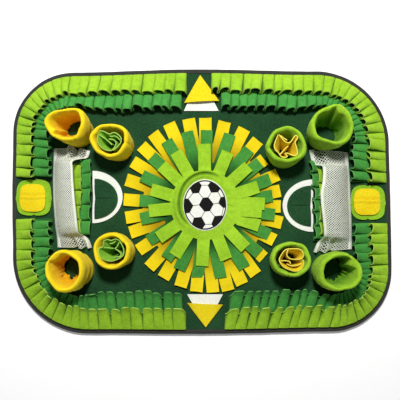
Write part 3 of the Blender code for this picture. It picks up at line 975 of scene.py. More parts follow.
@dataclass(frozen=True)
class Ruffle:
    """A knife-pleated strip, sewn along one edge and standing at the other."""

    name: str
    path: Path
    start: float
    end: float
    inset: float
    lap: int
    form: PleatForm
    finish: Finish
    node: str
    slant: float = 0.0
    # The middles of the large cups, which push the pleats aside.
    clear_of: Sequence[Vector] = ()
    columns_per_pleat: int = 22
    rows: int = 9
    # How much longer the cloth is than its run and its reach.
    fullness: float = 1.70
    curl: float = 1.22
    # How unevenly the pleats reach, wave and slant, and how far their cloth gives.
    tip: float = 1.7 * MM
    wave: float = 1.6 * MM
    sway: float = 1.8 * MM
    give: float = 1.0 * MM

    # One pleat's section where it is free, free and soft, and sewn: place along
    # in pleats, and depth.
    OPEN = (
        (0.00, 0.08), (0.05, 0.42), (0.14, 0.72), (0.32, 0.90), (0.55, 1.00), (0.76, 0.97),
        (0.90, 0.78), (0.92, 0.48), (0.80, 0.18), (0.78, 0.00), (0.90, 0.00),
    )
    SOFT = (
        (0.00, 0.16), (0.08, 0.20), (0.15, 0.42), (0.23, 0.78), (0.42, 1.00), (0.64, 0.98),
        (0.80, 0.80), (0.86, 0.52), (0.80, 0.26), (0.80, 0.12), (0.90, 0.12),
    )
    SEWN = (
        (0.00, 0.06), (0.03, 0.15), (0.08, 0.22), (0.30, 0.25), (0.56, 0.26), (0.82, 0.25),
        (0.95, 0.20), (0.96, 0.14), (0.86, 0.08), (0.84, 0.03), (0.93, 0.02),
    )

    def section(self, along: float, opened: float, soft: float) -> tuple[float, float]:
        """Reads the pleats' section.

        Args:
            along: How far along the strip, in pleats of cloth.
            opened: 0 at the sewn edge and 1 at the free one.
            soft: How rounded the pleats are, from 0 to 1.

        Returns:
            The place along in pleats, and the depth.
        """
        knots = len(self.OPEN)
        pleat = math.floor(along)
        at = (along - pleat) * knots
        rows = []
        for i in range(math.floor(at) - 1, math.floor(at) + 3):
            turn, k = divmod(i, knots)
            open_x, open_z = (mix(a, b, soft) for a, b in zip(self.OPEN[k], self.SOFT[k]))
            sewn_x, sewn_z = self.SEWN[k]
            rows.append((mix(sewn_x, open_x, opened) + turn, mix(sewn_z, open_z, opened)))
        place, depth = spline(rows, 1 + at - math.floor(at))
        return pleat + place, max(depth, 0.0)

    def facing(self, distance: float) -> float:
        """Returns 1 where the path runs along the mat's top or bottom and 0 along its sides."""
        return (self.path.at(distance, 1.0) - self.path.at(distance, 0.0)).y ** 2

    def build(self) -> None:
        """Builds the strip."""
        form = self.form
        chance = random.Random(self.node)
        run = self.end - self.start
        pleats = round(run / form.pitch)
        step = run / (pleats + form.overhang)
        crushed: list[float] = []

        def drawn(low: float, high: float) -> list[float]:
            """Draws a number for each pleat."""
            return [chance.uniform(low, high) for _ in range(pleats + 1)]

        def walked(distance: float) -> float:
            """Returns how far along the path a distance from the strip's first pleat is."""
            return self.start + distance if self.lap > 0 else self.end - distance

        slips, sizes = drawn(-0.19, 0.19), drawn(0.72, 1.18)
        tips, leans = drawn(-1.0, 1.0), drawn(-1.0, 1.0)

        def place(u: float, v: float) -> Vector:
            """Returns the point at a share along and across, and notes the shade painted on it."""
            along = min(u * pleats, pleats - TINY) if u < 1 else float(pleats)
            pleat = min(math.floor(along), pleats - 1)
            level = self.facing(walked(u * run))
            soft = level * form.softness
            opened = v**0.62
            share, depth = self.section(along, opened, soft)
            # Painted shade down in the valleys between pleats, reaching higher towards the free edge.
            gap = mix(mix(0.55, 0.95, v), 0.78, soft) * (0.82 + 0.3 * leans[pleat])
            crushed.append(0.9 * (1 - ease(depth / mix(0.26, 1.0, opened) / gap)))
            inner = ease(min(along, pleats - along) * 2)
            share += mix(slips[pleat], slips[pleat + 1], ease(along - pleat)) * inner
            depth *= mix(1.0, sizes[pleat], v)
            stands = form.depth * depth
            slant = self.slant * mix(1.0, level, form.softness)
            slant += self.sway * leans[pleat] * ease(depth * 1.5)
            distance = walked(share * step)
            lean = math.radians(mix(form.side_lean, form.lean, level))
            reach = (form.reach + form.longer * level) * v - math.sin(lean) * stands * ease(v * 1.4)
            lip = form.lip * level * ease((v - 0.80) / 0.20)
            reach -= form.valley * level * (1 - ease(depth * 1.2)) * v**2.2 + lip
            waved = self.wave * ripple(Vector((distance * 9, self.inset * 30, 0)), 1, 5)
            reach += (self.tip * tips[pleat] + waved) * v
            point = self.path.at(distance + slant * v * inner, self.inset + reach)
            height = SEWN_Z + form.rise * v * v + math.cos(lean) * stands + lip
            spot = Vector((*self.pushed(point), height))
            loose = Vector([ripple(spot, 55, seed) for seed in (1, 2, 3)])
            return spot + loose * (self.give * v)

        columns = pleats * self.columns_per_pleat
        length = run * self.fullness
        piece = Bench.cloth(self.name, columns, self.rows, place, (length, form.reach))
        Bench.crush(piece, crushed)
        Bench.thicken(piece, FLEECE, self.finish)
        Bench.hand_over(piece, self.finish, [self.node])
        form.reach * self.curl

    def pushed(self, point: Vector) -> Vector:
        """Returns a flat point moved out of the space that a large cup takes."""
        push_from, push_to, push_end = 24 * MM, 36.5 * MM, 60 * MM
        for foot in self.clear_of:
            away = point - foot
            if away.length < push_end:
                share = (away.length - push_from) / (push_end - push_from)
                return foot + away.normalized() * mix(push_to, push_end, share)
        return point


@dataclass(frozen=True)
class Corner:
    """The two strips in one corner of the pitch, clockwise."""

    name: str
    # Where each strip starts and ends: x, y and x, y.
    outer: tuple[float, float, float, float]
    inner: tuple[float, float, float, float]
    # Which way the pleats lap and how far clockwise they slant.
    lap: int
    slant: float
    # What is their own in the pleats' form.
    own: Mapping[str, float]


@dataclass(frozen=True)
class RimRuffles:
    """The two rows of pleats round the pitch, in four corners."""

    outer_inset: float = 9.8 * MM
    inner_inset: float = 40.0 * MM
    corners: tuple[Corner, ...] = (
        Corner("top_left", (-0.337, 0.043, -0.028, 0.218), (-0.300, 0.044, -0.037, 0.184),
               -1, -4.0 * MM, {"lean": 30, "longer": 3.0 * MM}),
        Corner("top_right", (0.0185, 0.218, 0.331, 0.0325), (0.036, 0.184, 0.294, 0.034),
               1, -3.0 * MM, {"lean": 32, "longer": 3.0 * MM}),
        Corner("bottom_right", (0.330, -0.040, 0.042, -0.224), (0.293, -0.040, 0.050, -0.174),
               -1, -9.5 * MM,
               {"lean": -8, "longer": 5.0 * MM, "valley": 9.0 * MM, "lip": 1.8 * MM, "softness": 1.0}),
        Corner("bottom_left", (-0.029, -0.220, -0.337, -0.032), (-0.036, -0.178, -0.296, -0.032),
               1, 1.0 * MM,
               {"lean": -10, "longer": 4.5 * MM, "valley": 8.0 * MM, "lip": 1.8 * MM, "softness": 0.30}),
    )

    def build(self) -> None:
        """Builds all eight strips."""
        feet = [cup.centre(0.0) for cup in CUPS if "big" in cup.name]
        for corner in self.corners:
            for row, inset, (x0, y0, x1, y1), form, finish in (
                ("outer", self.outer_inset, corner.outer, OUTER_FORM, Finishes.LIME),
                ("inner", self.inner_inset, corner.inner, INNER_FORM, Finishes.GREEN),
            ):
                start, end = EDGE.nearest(x0, y0), EDGE.nearest(x1, y1)
                if end < start:
                    end += EDGE.length
                Ruffle(
                    f"{row}_pleats_{corner.name}", EDGE, start, end, inset, corner.lap,
                    replace(form, **corner.own), finish, f"ruffle_{row}_{corner.name}", corner.slant, feet,
                ).build()


@dataclass(frozen=True)
class GoalRuffles:
    """The pleated strips in front of each goal."""

    # Name, then the points that the sewn edge runs through.
    strips: tuple[tuple[str, tuple[tuple[float, float], ...], PleatForm, Finish], ...] = (
        ("lime_left", ((-0.2412, -0.060), (-0.2412, 0.071)), LEFT_GOAL_FORM, Finishes.LIME),
        ("green_left", ((-0.2248, -0.062), (-0.2245, 0.078)), LEFT_GOAL_FORM, Finishes.GREEN),
        ("lime_right", ((0.2315, 0.060), (0.2345, -0.066)), RIGHT_GOAL_FORM, Finishes.LIME),
        (
            "green_right", ((0.2142, 0.077), (0.2188, 0.058), (0.2210, 0.020), (0.2252, -0.075)),
            RIGHT_GOAL_FORM, Finishes.GREEN,
        ),
    )

    def build(self) -> None:
        """Builds the strips."""
        for name, points, form, finish in self.strips:
            path = Path([Vector(point) for point in points], closed=False)
            strip = (0.0, path.length, 0.0, 1, form, finish, f"goal_{name}")
            Ruffle(f"goal_pleats_{name}", path, *strip).build()


# ---- cups


@dataclass(frozen=True)
class Cup:
    """A fleece cup: a double wall with a soft rolled rim, drawn in at its foot."""

    name: str
    # The middles of its foot and rim, and half the rim's width each way (mm).
    foot: tuple[float, float]
    rim: tuple[float, float]
    half: tuple[float, float]
    # How far the rim bulges at three corners, and the bearing of one (degrees).
    bulge: float
    corner: float
    height: float
    # The bearing of its seam (degrees).
    seam: float
    # The hole that the inner wall leaves at the foot: its middle from the
    # foot's, half its length and width (mm), and the bearing of its length.
    hole: tuple[float, float, float, float, float] = (0.0, 0.0, 15.0, 15.0, 0.0)
    # How jagged the hole is, how deep and how many the tucks round it are, how
    # strongly the wall sags, and how far one corner of the rim is drawn out.
    jag: float = 1.0 * MM
    tuck: float = 2.0 * MM
    tucks: int = 9
    sag: float = 0.6 * MM
    point: float = 0.0
    # A fold across the inner wall: its bearing, width (degrees) and depth.
    pleat: tuple[float, float, float] = (0.0, 20.0, 0.0)
    # The share of the height where the rim begins to roll over, and the shares
    # of the radius where the inner wall stands and the foot is sewn.
    throat: float = 0.86
    inner: float = 0.762
    sewn: float = 0.86
    sides: int = 144
    stitch_stations: int = 60

    @property
    def yellow(self) -> bool:
        """Whether it is one of the yellow cups, on the left."""
        return "left" in self.name

    @property
    def mean(self) -> float:
        """The rim's mean radius."""
        return sum(self.half) / 2 * MM

    @property
    def seed(self) -> float:
        """What moves the noise on this cup."""
        return seed_of(self.name, 97, 9)

    def radius(self, bearing: float, uneven: float) -> float:
        """Returns the wall's outer radius at a bearing, from round to the rim's own shape."""
        half_x, half_y = self.half
        stretched = math.hypot(half_x * math.cos(bearing), half_y * math.sin(bearing)) * MM
        stretched += self.mean * self.bulge * math.cos(3 * (bearing - math.radians(self.corner)))
        return mix(self.mean, stretched, uneven)

    def centre(self, rise: float) -> Vector:
        """Returns the middle of the cup at a share of its height."""
        return Vector([mix(low, high, rise) * MM for low, high in zip(self.foot, self.rim)])

    def spot(self, bearing: float, rise: float) -> Vector:
        """Returns where the noise for a point of the wall is read."""
        return Vector((*unit(bearing), rise * 1.3))

    def near_seam(self, bearing: float, width: float) -> float:
        """Returns 1 on the seam, falling off over a width to its sides."""
        off = (bearing - math.radians(self.seam) + math.pi) % math.tau - math.pi
        return bump_at(off * self.mean, width)

    def hole_edge(self, bearing: float) -> Vector:
        """Returns where the inner wall ends, from the middle of the foot."""
        x, y, long, short, turn = self.hole
        own = bearing - math.radians(turn)
        size = MM / math.hypot(math.cos(own) / long, math.sin(own) / short)
        return Vector((x * MM + size * math.cos(bearing), y * MM + size * math.sin(bearing)))

    def profile(self) -> list[tuple[float, float, float, float]]:
        """Draws the wall's section.

        Returns:
            Rows of radius share, height share, how far the rim's shape is felt
            and how far the row is inside the cup.
        """
        rows = [(0.68, 0.0, 0.3, 0.0), (0.80, 0.0, 0.3, 0.0)]
        for i in range(11):
            h = i / 10 * self.throat
            share = 0.84 + 0.16 * math.sin(math.pi / 2 * min(h / 0.80, 1)) ** 0.9
            rows.append((share, h + 0.003, mix(0.3, 1.0, ease(h / 0.8)), 0.0))
        for i in range(1, 9):
            turn = math.pi * i / 9
            share, rise = 0.883 + 0.118 * math.cos(turn), 0.880 + 0.120 * math.sin(turn)
            rows.append((share, rise, 1.0, ease((i - 3) / 4)))
        for i in range(14):
            h = self.throat * (1 - i / 13)
            rows.append((self.inner, h + 0.003, mix(0.3, 1.0, ease(h / 0.8)), 1.0))
        rows.append((self.inner, 0.0, 0.3, 1.0))
        return rows

    def inner_wall(self, bearing: float, rise: float, radius: float, seam: float) -> Vector:
        """Finds a point of the inner wall, which hangs in tucks to its hole.

        Args:
            bearing: Its bearing.
            rise: Its share of the height.
            radius: The wall's radius there.
            seam: How far the seam stands out there.

        Returns:
            The point, flat, from the middle.
        """
        spot, seed = self.spot(bearing, rise), self.seed
        low = 1 - ease(rise / 0.7)
        turn_on = bearing * self.tucks / 2 + 2.2 * ripple(spot * 0.6, 1.9, seed + 2)
        deep = 0.5 + 0.7 * ripple(spot * 0.7, 2.0, seed + 4)
        out = self.tuck * deep * (2 * abs(math.sin(turn_on)) - 1.2) * low
        out += self.jag * ripple(spot, 4.5, seed + 5) * low**3 + 1.0 * MM * ripple(spot, 2.4, seed + 6)
        at, wide, fold = self.pleat
        around = degrees_off(bearing, at)
        crease = bump_at(around, wide) - 0.8 * bump_at(around - wide, wide * 0.6)
        out -= fold * crease * ease(rise * 3 + 0.3)
        drawn_in = (min(rise, self.throat) / self.throat) ** 0.66
        outward = unit(bearing)
        return mix(self.hole_edge(bearing), outward * radius, drawn_in) + outward * (out + seam)

    def outer_wall(self, bearing: float, rise: float, radius: float, seam: float) -> Vector:
        """Returns a point of the outer wall or the rim in the same way."""
        sag = math.sin(rise * 17 + 1.6 * ripple(self.spot(bearing, rise), 1.4, self.seed + 7))
        radius += self.sag * sag * ease(rise * 4) * (1 - ease(rise * 1.3 - 0.3))
        return unit(bearing) * (radius - seam)

    def place(self, bearing: float, row: tuple[float, float, float, float]) -> Vector:
        """Returns the point of the cup at a bearing, for a row of the wall's section."""
        share, rise, uneven, inside = row
        spot = self.spot(bearing, rise)
        radius = self.radius(bearing, uneven) * share
        radius += 1.3 * MM * ripple(spot, 1.7, self.seed) * ease(rise * 5)
        radius += self.point * bump_at(degrees_off(bearing, self.corner), 16) * ease(rise * 1.3)
        seam = 0.8 * MM * self.near_seam(bearing, 2.2 * MM) * ease(rise * 6)
        if inside > 0.99:
            flat = self.inner_wall(bearing, rise, radius, seam)
        else:
            flat = self.outer_wall(bearing, rise, radius, seam * (1 - 2 * inside))
        height = self.height * rise
        if rise > 0.5:
            lift = 1.5 * MM * math.sin(2 * bearing + self.seed) + 1.4 * MM * ripple(spot, 1.3, self.seed + 9)
            lift -= 1.0 * MM * self.near_seam(bearing, 3.0 * MM)
            height += (lift - 1.4 * MM) * ease(rise * 2 - 1)
        return Vector((*(self.centre(rise) + flat), MAT_TOP + CLEAR + max(height, 0.0)))

    def build(self) -> None:
        """Builds the cup from a ring whose section is moved to the wall's."""
        rows = self.profile()
        Bench.deselect()
        bpy.ops.mesh.primitive_torus_add(
            major_segments=self.sides, minor_segments=len(rows), major_radius=1.0, minor_radius=0.25
        )
        piece = Bench.named(f"{self.name}_fleece")

        def row_at(at: Vector) -> tuple[float, float, float, float]:
            """Returns the section's row for a point of the ring."""
            turn = math.atan2(at.z, math.hypot(at.x, at.y) - 1.0)
            return rows[round(turn / math.tau * len(rows)) % len(rows)]

        found = [row_at(vertex.co) for vertex in piece.data.vertices]
        # Painted shade on the inner wall, darkest at its foot.
        Bench.crush(piece, [inside * ease(1.25 - rise * 1.25) for _, rise, _, inside in found])
        Bench.reshape(piece, lambda at: self.place(math.atan2(at.y, at.x), row_at(at)))
        Bench.weld(piece)
        Bench.hand_over(piece, Finishes.CUP_YELLOW if self.yellow else Finishes.CUP_LIME, [self.name], 70.0)
        flat = (math.tau * self.mean * 0.95, 2.35 * self.height / 2 + 10 * MM)
        line: list[Vector] = []
        for i in range(self.stitch_stations):
            bearing = math.tau * i / self.stitch_stations
            foot = self.centre(0.0) + self.radius(bearing, 0.3) * self.sewn * unit(bearing)
            line.append(Vector((*foot, MAT_TOP + 0.9 * MM)))
        thread = Finishes.THREAD_YELLOW if self.yellow else Finishes.THREAD_LIME
        StitchRow(f"{self.name}_stitches", line, thread, closed=True).build()


BIG, SMALL = 62 * MM, 52 * MM
CUPS = (
    Cup("cup_big_top_left", (-227.5, 126.3), (-239.5, 130.1), (35, 29), 0.07, 45, BIG, 300,
        hole=(-7.5, 7.8, 16.0, 10.5, 40), jag=0.2 * MM, tuck=0.8 * MM, tucks=3, point=2.6 * MM,
        pleat=(205, 13, 5.5 * MM)),
    Cup("cup_big_top_right", (226, 122.6), (229.5, 128), (37.8, 35), 0.05, 75, BIG, 78,
        hole=(3.0, 0.0, 19.5, 15.5, 150), jag=0.8 * MM, tuck=1.6 * MM, tucks=4, point=2.0 * MM,
        pleat=(66, 17, 6.0 * MM)),
    Cup("cup_big_bottom_left", (-228, -127.6), (-240.5, -125.9), (32.5, 37), 0.03, 30, BIG, 150,
        hole=(-11.0, 5.0, 19.5, 15.5, 96), jag=3.6 * MM, tuck=2.8 * MM, tucks=11, sag=1.6 * MM,
        pleat=(128, 20, 2.8 * MM)),
    Cup("cup_big_bottom_right", (233.5, -128), (242.6, -128.6), (38.2, 33.6), 0.02, 100, BIG, 60,
        hole=(7.5, 2.5, 20.0, 17.0, 60), jag=3.4 * MM, tuck=3.4 * MM, tucks=7, sag=1.8 * MM,
        pleat=(35, 20, 7.0 * MM)),
    Cup("cup_small_top_left", (-153.5, 101), (-164, 104.2), (34, 30.6), 0.04, 40, SMALL, 350),
    Cup("cup_small_top_right", (151.3, 88.7), (149.8, 95.9), (36, 32.5), 0.03, 90, SMALL, 190),
    Cup("cup_small_bottom_left", (-151, -93), (-159.7, -92), (32.4, 33), 0.03, 0, SMALL, 30, sag=1.2 * MM),
    Cup("cup_small_bottom_right", (157.2, -108), (158.1, -106.9), (35.4, 31.2), 0.02, 60, SMALL, 260,
        sag=1.2 * MM),
)


@dataclass(frozen=True)
class Fold:
    """One fold of a filling: a strip of fleece on edge, seen from above as a line."""

    # Points that its top edge runs through, in mm from the middle of the rim.
    line: tuple[tuple[float, float], ...]
    closed: bool
    # How near the strip's foot comes to the middle, and its top's height.
    draw: float
    top: float


@dataclass(frozen=True)
class Filling:
    """A piece of fleece folded into a small cup."""

    inside: Cup
    finish: Finish
    # How far its middle lies from the cup's own, in mm.
    off: tuple[float, float]
    folds: tuple[Fold, ...]
    # What the fleece was cut to, its thickness and how low it reaches.
    cut: tuple[float, float] = (0.165, 0.045)
    thickness: float = 1.7 * MM
    low: float = 0.6 * MM
    # The folds' size beside their drawn lines.
    snug: float = 0.97
    steps: int = 12
    rows: int = 10

    def strip(self, fold: Fold, seed: float) -> Piece:
        """Builds one fold, from its foot in the cup to its cut edge."""
        spans = len(fold.line) if fold.closed else len(fold.line) - 1

        def place(u: float, v: float) -> Vector:
            """Returns the point at a share along the fold and up it."""
            x, y = spline(fold.line, (u % 1.0 if fold.closed else u) * spans, fold.closed)
            level = mix(self.low, fold.top, v)
            shrink = mix(fold.draw, 1.0, v**1.35)
            middle = self.inside.centre(level / self.inside.height)
            x, y = x * self.snug + self.off[0], y * self.snug + self.off[1]
            flat = (middle.x + x * MM * shrink, middle.y + y * MM * shrink)
            spot = Vector((*flat, MAT_TOP + CLEAR + level))
            give = 1.1 * MM * ease(v * 2)
            spot.z += 1.6 * MM * ripple(spot, 48, seed) * v
            return spot + Vector((ripple(spot, 42, seed + 1), ripple(spot, 42, seed + 2), 0)) * give

        size = (0.2, fold.top)
        return Bench.cloth("fold", spans * self.steps, self.rows, place, size, weld=fold.closed)

    def build(self) -> None:
        """Builds the folds as one piece."""
        seed = seed_of(self.inside.name, 89, 7)
        name = self.inside.name.replace("cup_small", "filling")
        strips = [self.strip(fold, seed + i) for i, fold in enumerate(self.folds)]
        piece = Bench.join(strips, f"{name}_fleece")
        Bench.thicken(piece, self.thickness, self.finish)
        Bench.hand_over(piece, self.finish, [name])


HIGH, MIDDLE = 45 * MM, 41 * MM
FILLINGS = (
    Filling(CUPS[4], Finishes.FOLDED, (0.0, 1.5), (
        Fold((
            (-18.5, 16.5), (-13, 16.5), (-8.5, 14.5), (-4, 11.5), (0, 10.5), (4.5, 13), (10, 13), (15.5, 9),
            (20.5, 3), (20.5, -4), (15, -11), (7.5, -17.5), (0, -21), (-10, -18.5), (-18.5, -12.5),
            (-23, -4), (-22.8, 5), (-21, 11.5),
        ), True, 0.34, HIGH),
        Fold(((-20, 9), (-15, 5.5), (-9, 1.5), (-3, -3.5), (3, -9)), False, 0.74, HIGH),
        Fold((
            (-4, 2.2), (0, 2.2), (4.5, 1.2), (8.5, -2.5), (9, -7.5), (6, -13), (1.5, -18),
        ), False, 0.70, MIDDLE),
        Fold(((-2.5, 8), (2, 6.8), (7, 7.2), (12, 4), (16.5, -1)), False, 0.76, MIDDLE),
    )),
    Filling(CUPS[5], Finishes.YELLOW, (0.5, 1.0), (
        Fold((
            (-13.8, 20), (-7, 12), (-1.5, 6), (4, 4), (9, 6.5), (13.5, 13.5), (17, 17.5), (20.5, 16.5),
            (20.5, 12), (17, 5.5), (19, -2), (20.5, -10), (20, -17.5), (14.5, -19.5), (8, -17.5),
            (2, -15), (-2, -15.5), (0.5, -20), (-2, -22), (-8, -22), (-12.3, -19), (-14.5, -15.5),
            (-20, -10), (-22, -3), (-20, 6), (-17, 14),
        ), True, 0.42, HIGH),
        Fold(((3.5, -0.5), (-2, -5), (-6, -9.5), (-12, -15.5)), False, 0.75, MIDDLE),
        Fold(((-10.5, 19.5), (-4.5, 14.5), (2, 10)), False, 0.80, MIDDLE),
    )),
    Filling(CUPS[6], Finishes.FOLDED, (-0.5, 0.5), (
        Fold((
            (-14, 19), (-7, 20.5), (-1, 19), (6, 21.5), (11.5, 21), (14.7, 18), (20, 9), (22.5, 0.6),
            (21.5, -7.5), (16, -13), (5.5, -18), (-2.5, -19.5), (-12, -17.5), (-19, -13.5),
            (-23.5, -5.5), (-23.5, 4), (-17, 7.5), (-15, 13),
        ), True, 0.34, HIGH),
        Fold((
            (13.5, 17), (10.5, 12), (7.5, 7), (4.5, 3.5), (10, -0.5), (14.5, -5), (13.5, -10.5), (3, -12.5),
        ), False, 0.75, MIDDLE),
        Fold(((-22, 4.5), (-12, 5.2), (1.5, 4.2)), False, 0.75, MIDDLE),
        Fold(((-5.5, 13), (0.5, 14), (6, 18)), False, 0.75, MIDDLE),
    )),
    Filling(CUPS[7], Finishes.YELLOW, (0.0, -0.5), (
        Fold((
            (-3, 19), (5, 20), (15, 18.5), (21.5, 13), (23, 6.5), (19, 1.5), (10, 0), (0, 2), (-6, 7),
            (-7, 13),
        ), True, 0.60, HIGH),
        Fold((
            (-3.5, 20.5), (-12, 17.5), (-18.5, 7), (-21.5, 0), (-20, -7), (-14, -14), (-4, -18), (8, -20),
            (17, -18), (22, -12), (23.5, -5), (21.5, 0.5),
        ), False, 0.42, HIGH),
        Fold(((-19, -3), (-12, -2.2), (-3, -2.5), (-1, -7)), False, 0.80, MIDDLE),
        Fold(((-6, -8), (2, -11), (12, -9.5), (20, -6)), False, 0.80, MIDDLE),
    )),
)


# ---- goals


@dataclass(frozen=True)
class GoalNet:
    """Netting sewn down along its back and at both ends, open at its front."""

    name: str
    # Back edge x, y; front edge x, y, height; crown between them (mm).
    sections: tuple[tuple[float, ...], ...]
    # Folds at an end: which end, depth (mm), where across, width and length.
    creases: tuple[tuple[float, float, float, float, float], ...] = ()
    columns: int = 12
    rows: int = 44
    # How wide the strands are and how thick, the net's cut, and its lowest height.
    strand: float = 1.1 * MM
    yarn: float = 0.7 * MM
    cut: tuple[float, float] = (0.078, 0.187)
    lowest: float = MAT_TOP + CLEAR + 0.6 * MM

    def section(self, along: float) -> list[float]:
        """Reads the net's section at a share of the way along its back edge."""
        first, last = self.sections[0][1], self.sections[-1][1]
        shares = [(row[1] - first) / (last - first) for row in self.sections]
        i = min(max(bisect.bisect_right(shares, along), 1), len(shares) - 1)
        return spline(self.sections, i - 1 + (along - shares[i - 1]) / (shares[i] - shares[i - 1]))

    def surface(self, across: float, along: float) -> Vector:
        """Returns the net's middle surface at a share across and along the goal."""
        back_x, back_y, front_x, front_y, front_z, crown = self.section(along)
        height = max(front_z, 0.6) * math.sin(math.pi / 2 * across) + crown * math.sin(math.pi * across)
        spot = Vector(
            (mix(back_x, front_x, across), mix(back_y, front_y, across), max(height, 0.0))
        ) * MM
        slack = math.sin(math.pi * min(across * 1.1, 1.0)) * 1.6 * MM
        end = 1 - ease(min(along, 1 - along) * 6)
        spot.z += self.lowest + slack * (0.25 + end) * (1 + ripple(spot, 38, 6))
        spot.x += 0.8 * MM * ripple(spot, 25, 7) * math.sin(math.pi * across)
        for at_end, depth, where, width, reach in self.creases:
            near = 1 - ease(abs(along - at_end) / reach)
            fold = depth * MM * bump_at(across - where, width) * near
            spot += Vector((0, 0.30 * fold * math.copysign(1, self.section(at_end)[1]), fold))
        spot.z = max(spot.z, self.lowest)
        return spot

    def open_meshes(self, piece: Piece) -> None:
        """Turns the faces of a grid into the slanting meshes of a net."""
        columns, rows = self.columns, self.rows
        crossings = len(piece.data.vertices)
        bpy.context.tool_settings.mesh_select_mode = (False, True, False)
        with Bench.editing(piece):
            bpy.ops.mesh.poke()
            bpy.ops.mesh.select_all(action="DESELECT")
        stride = columns + 1
        for edge in piece.data.edges:
            low, high = sorted(edge.vertices)
            if high < crossings:
                column, row = low % stride, low // stride
                lengthwise = high - low == stride
                edge.select = 0 < column < columns if lengthwise else 0 < row < rows
        bpy.ops.object.mode_set(mode="EDIT")
        bpy.ops.mesh.dissolve_edges(use_verts=False)
        bpy.ops.mesh.select_mode(type="FACE")
        bpy.ops.mesh.select_all(action="SELECT")
        bpy.ops.mesh.inset(thickness=self.strand / 2, use_individual=True)
        bpy.ops.mesh.delete(type="FACE")
        bpy.ops.object.mode_set(mode="OBJECT")

    def build(self) -> None:
        """Builds the netting, its hems and the stitches that hold it."""
        size = (0.07, 0.185)
        piece = Bench.cloth(f"{self.name}_netting", self.columns, self.rows, self.surface, size)
        self.open_meshes(piece)
        Bench.thicken(piece, self.yarn)
        Bench.hand_over(piece, Finishes.NET, [self.name], 60.0)
        self.build_hem()

    def build_hem(self) -> None:
        """Builds the folded hems of the front and back edges, and the stitches."""
        for edge, middle, half, thick in (("front", 0.965, 0.045, 0.8), ("back", 0.05, 0.055, 0.9)):

            def place(u: float, v: float) -> Vector:
                """Returns the point at a share along the hem and round it."""
                across = middle + half * math.cos(math.tau * v)
                spot = self.surface(min(max(across, 0.0), 1.0), u)
                return spot + Vector((0, 0, thick * MM * (math.sin(math.tau * v) + 0.4)))

            piece = Bench.cloth(f"{self.name}_{edge}_hem", 90, 10, place, (0.2, 0.012), weld=True)
            Bench.hand_over(piece, Finishes.HEM, degrees=70.0)
        line = [self.surface(0.04, i / 60) + Vector((0, 0, 1.3 * MM)) for i in range(61)]
        StitchRow(f"{self.name}_stitches", line, Finishes.THREAD_WHITE).build()


NETS = (
    GoalNet("goal_net_left", (
        (-274.0, 97, -206.8, 92.5, 2, 10), (-274.0, 90, -207.5, 86, 4, 11), (-274.2, 83, -211.0, 79, 4, 12),
        (-274.4, 77, -221.0, 76, 14, 11), (-274.6, 70, -232.0, 69, 30, 8), (-275.0, 55, -231.0, 55, 34, 7),
        (-275.3, 36, -230.0, 36, 35, 7), (-274.4, 2, -227.0, 2, 36, 7), (-272.5, -25, -224.0, -25, 36, 7),
        (-270.5, -48, -222.0, -48, 34, 8), (-268.5, -60, -221.0, -60, 26, 8),
        (-267.6, -68, -214.0, -65, 10, 9), (-266.8, -76, -207.0, -73, 5, 9), (-266.3, -86, -203.0, -86, 1, 6),
    ), (
        (0.0, 18.0, 0.54, 0.08, 0.16), (0.0, -10.0, 0.67, 0.05, 0.15), (0.0, 7.0, 0.80, 0.07, 0.12),
        (1.0, -9.0, 0.60, 0.05, 0.13), (1.0, 11.0, 0.71, 0.07, 0.12), (1.0, -8.0, 0.83, 0.04, 0.11),
        (1.0, 7.0, 0.91, 0.06, 0.11),
    )),
    GoalNet("goal_net_right", (
        (277.7, -89, 206.1, -94, 1, 6), (277.6, -82, 209.0, -85, 4, 8), (277.4, -75, 213.0, -76, 8, 9),
        (277.3, -70, 219.0, -69, 22, 9), (277.2, -62, 219.5, -62, 30, 8), (277.0, -38, 217.0, -38, 34, 8),
        (276.0, -12, 213.6, -12, 36, 8), (275.2, 12, 212.5, 12, 36, 8), (274.6, 34, 216.5, 34, 35, 8),
        (273.3, 56, 217.5, 56, 32, 9), (272.6, 65, 217.0, 63, 18, 10), (272.0, 71, 205.0, 67, 6, 9),
        (271.5, 80, 201.0, 80, 5, 9), (271.1, 89.5, 199.4, 93.5, 1, 7),
    ), (
        (0.0, -9.0, 0.62, 0.05, 0.14), (0.0, 12.0, 0.73, 0.08, 0.13), (0.0, -10.0, 0.86, 0.05, 0.12),
        (0.0, 7.0, 0.94, 0.05, 0.11), (1.0, 9.0, 0.66, 0.07, 0.16), (1.0, -9.0, 0.79, 0.05, 0.15),
        (1.0, 5.0, 0.90, 0.06, 0.12),
    )),
)


# ---- flat pieces


@dataclass(frozen=True)
class FlatPiece:
    """A piece of felt, sewn flat on the mat or on another one."""

    name: str
    layer: int
    finish: Finish
    thread: Finish

    def point(self, u: float, v: float) -> Vector:
        """Returns the point of the felt at a share of each direction."""
        raise NotImplementedError

    def lay(
        self, faces: tuple[int, int], size: tuple[float, float], flat: tuple[float, float],
        fill: float, edged: bool = False,
    ) -> None:
        """Builds the felt.

        Args:
            faces: How many faces it has each way.
            size: Its map's size.
            flat: The size that it was cut to.
            fill: The share of that rectangle which it fills.
            edged: Whether its cut edges are told from its faces.
        """
        piece = Bench.cloth(f"{self.name}_felt", *faces, self.point, size, weld=True)
        Bench.thicken(piece, FLEECE, self.finish if edged else None)
        Bench.hand_over(piece, self.finish, [self.name])
        area = flat[0] * flat[1] * fill

    def stitch(self, points: Sequence[Vector], closed: bool = False) -> None:
        """Sews along points of the felt."""
        line = [point + Vector((0, 0, THREAD_UP)) for point in points]
        StitchRow(f"{self.name}_stitches", line, self.thread, closed=closed).build()


# Layer, felt and thread.
WHITE_UNDER = (0, Finishes.WHITE, Finishes.THREAD_WHITE)
GREEN_OVER = (1, Finishes.FIELD, Finishes.THREAD_GREEN)
LIME_UNDER = (0, Finishes.PATCH_LIME, Finishes.THREAD_LIME)
YELLOW_OVER = (1, Finishes.PATCH_YELLOW, Finishes.THREAD_YELLOW)


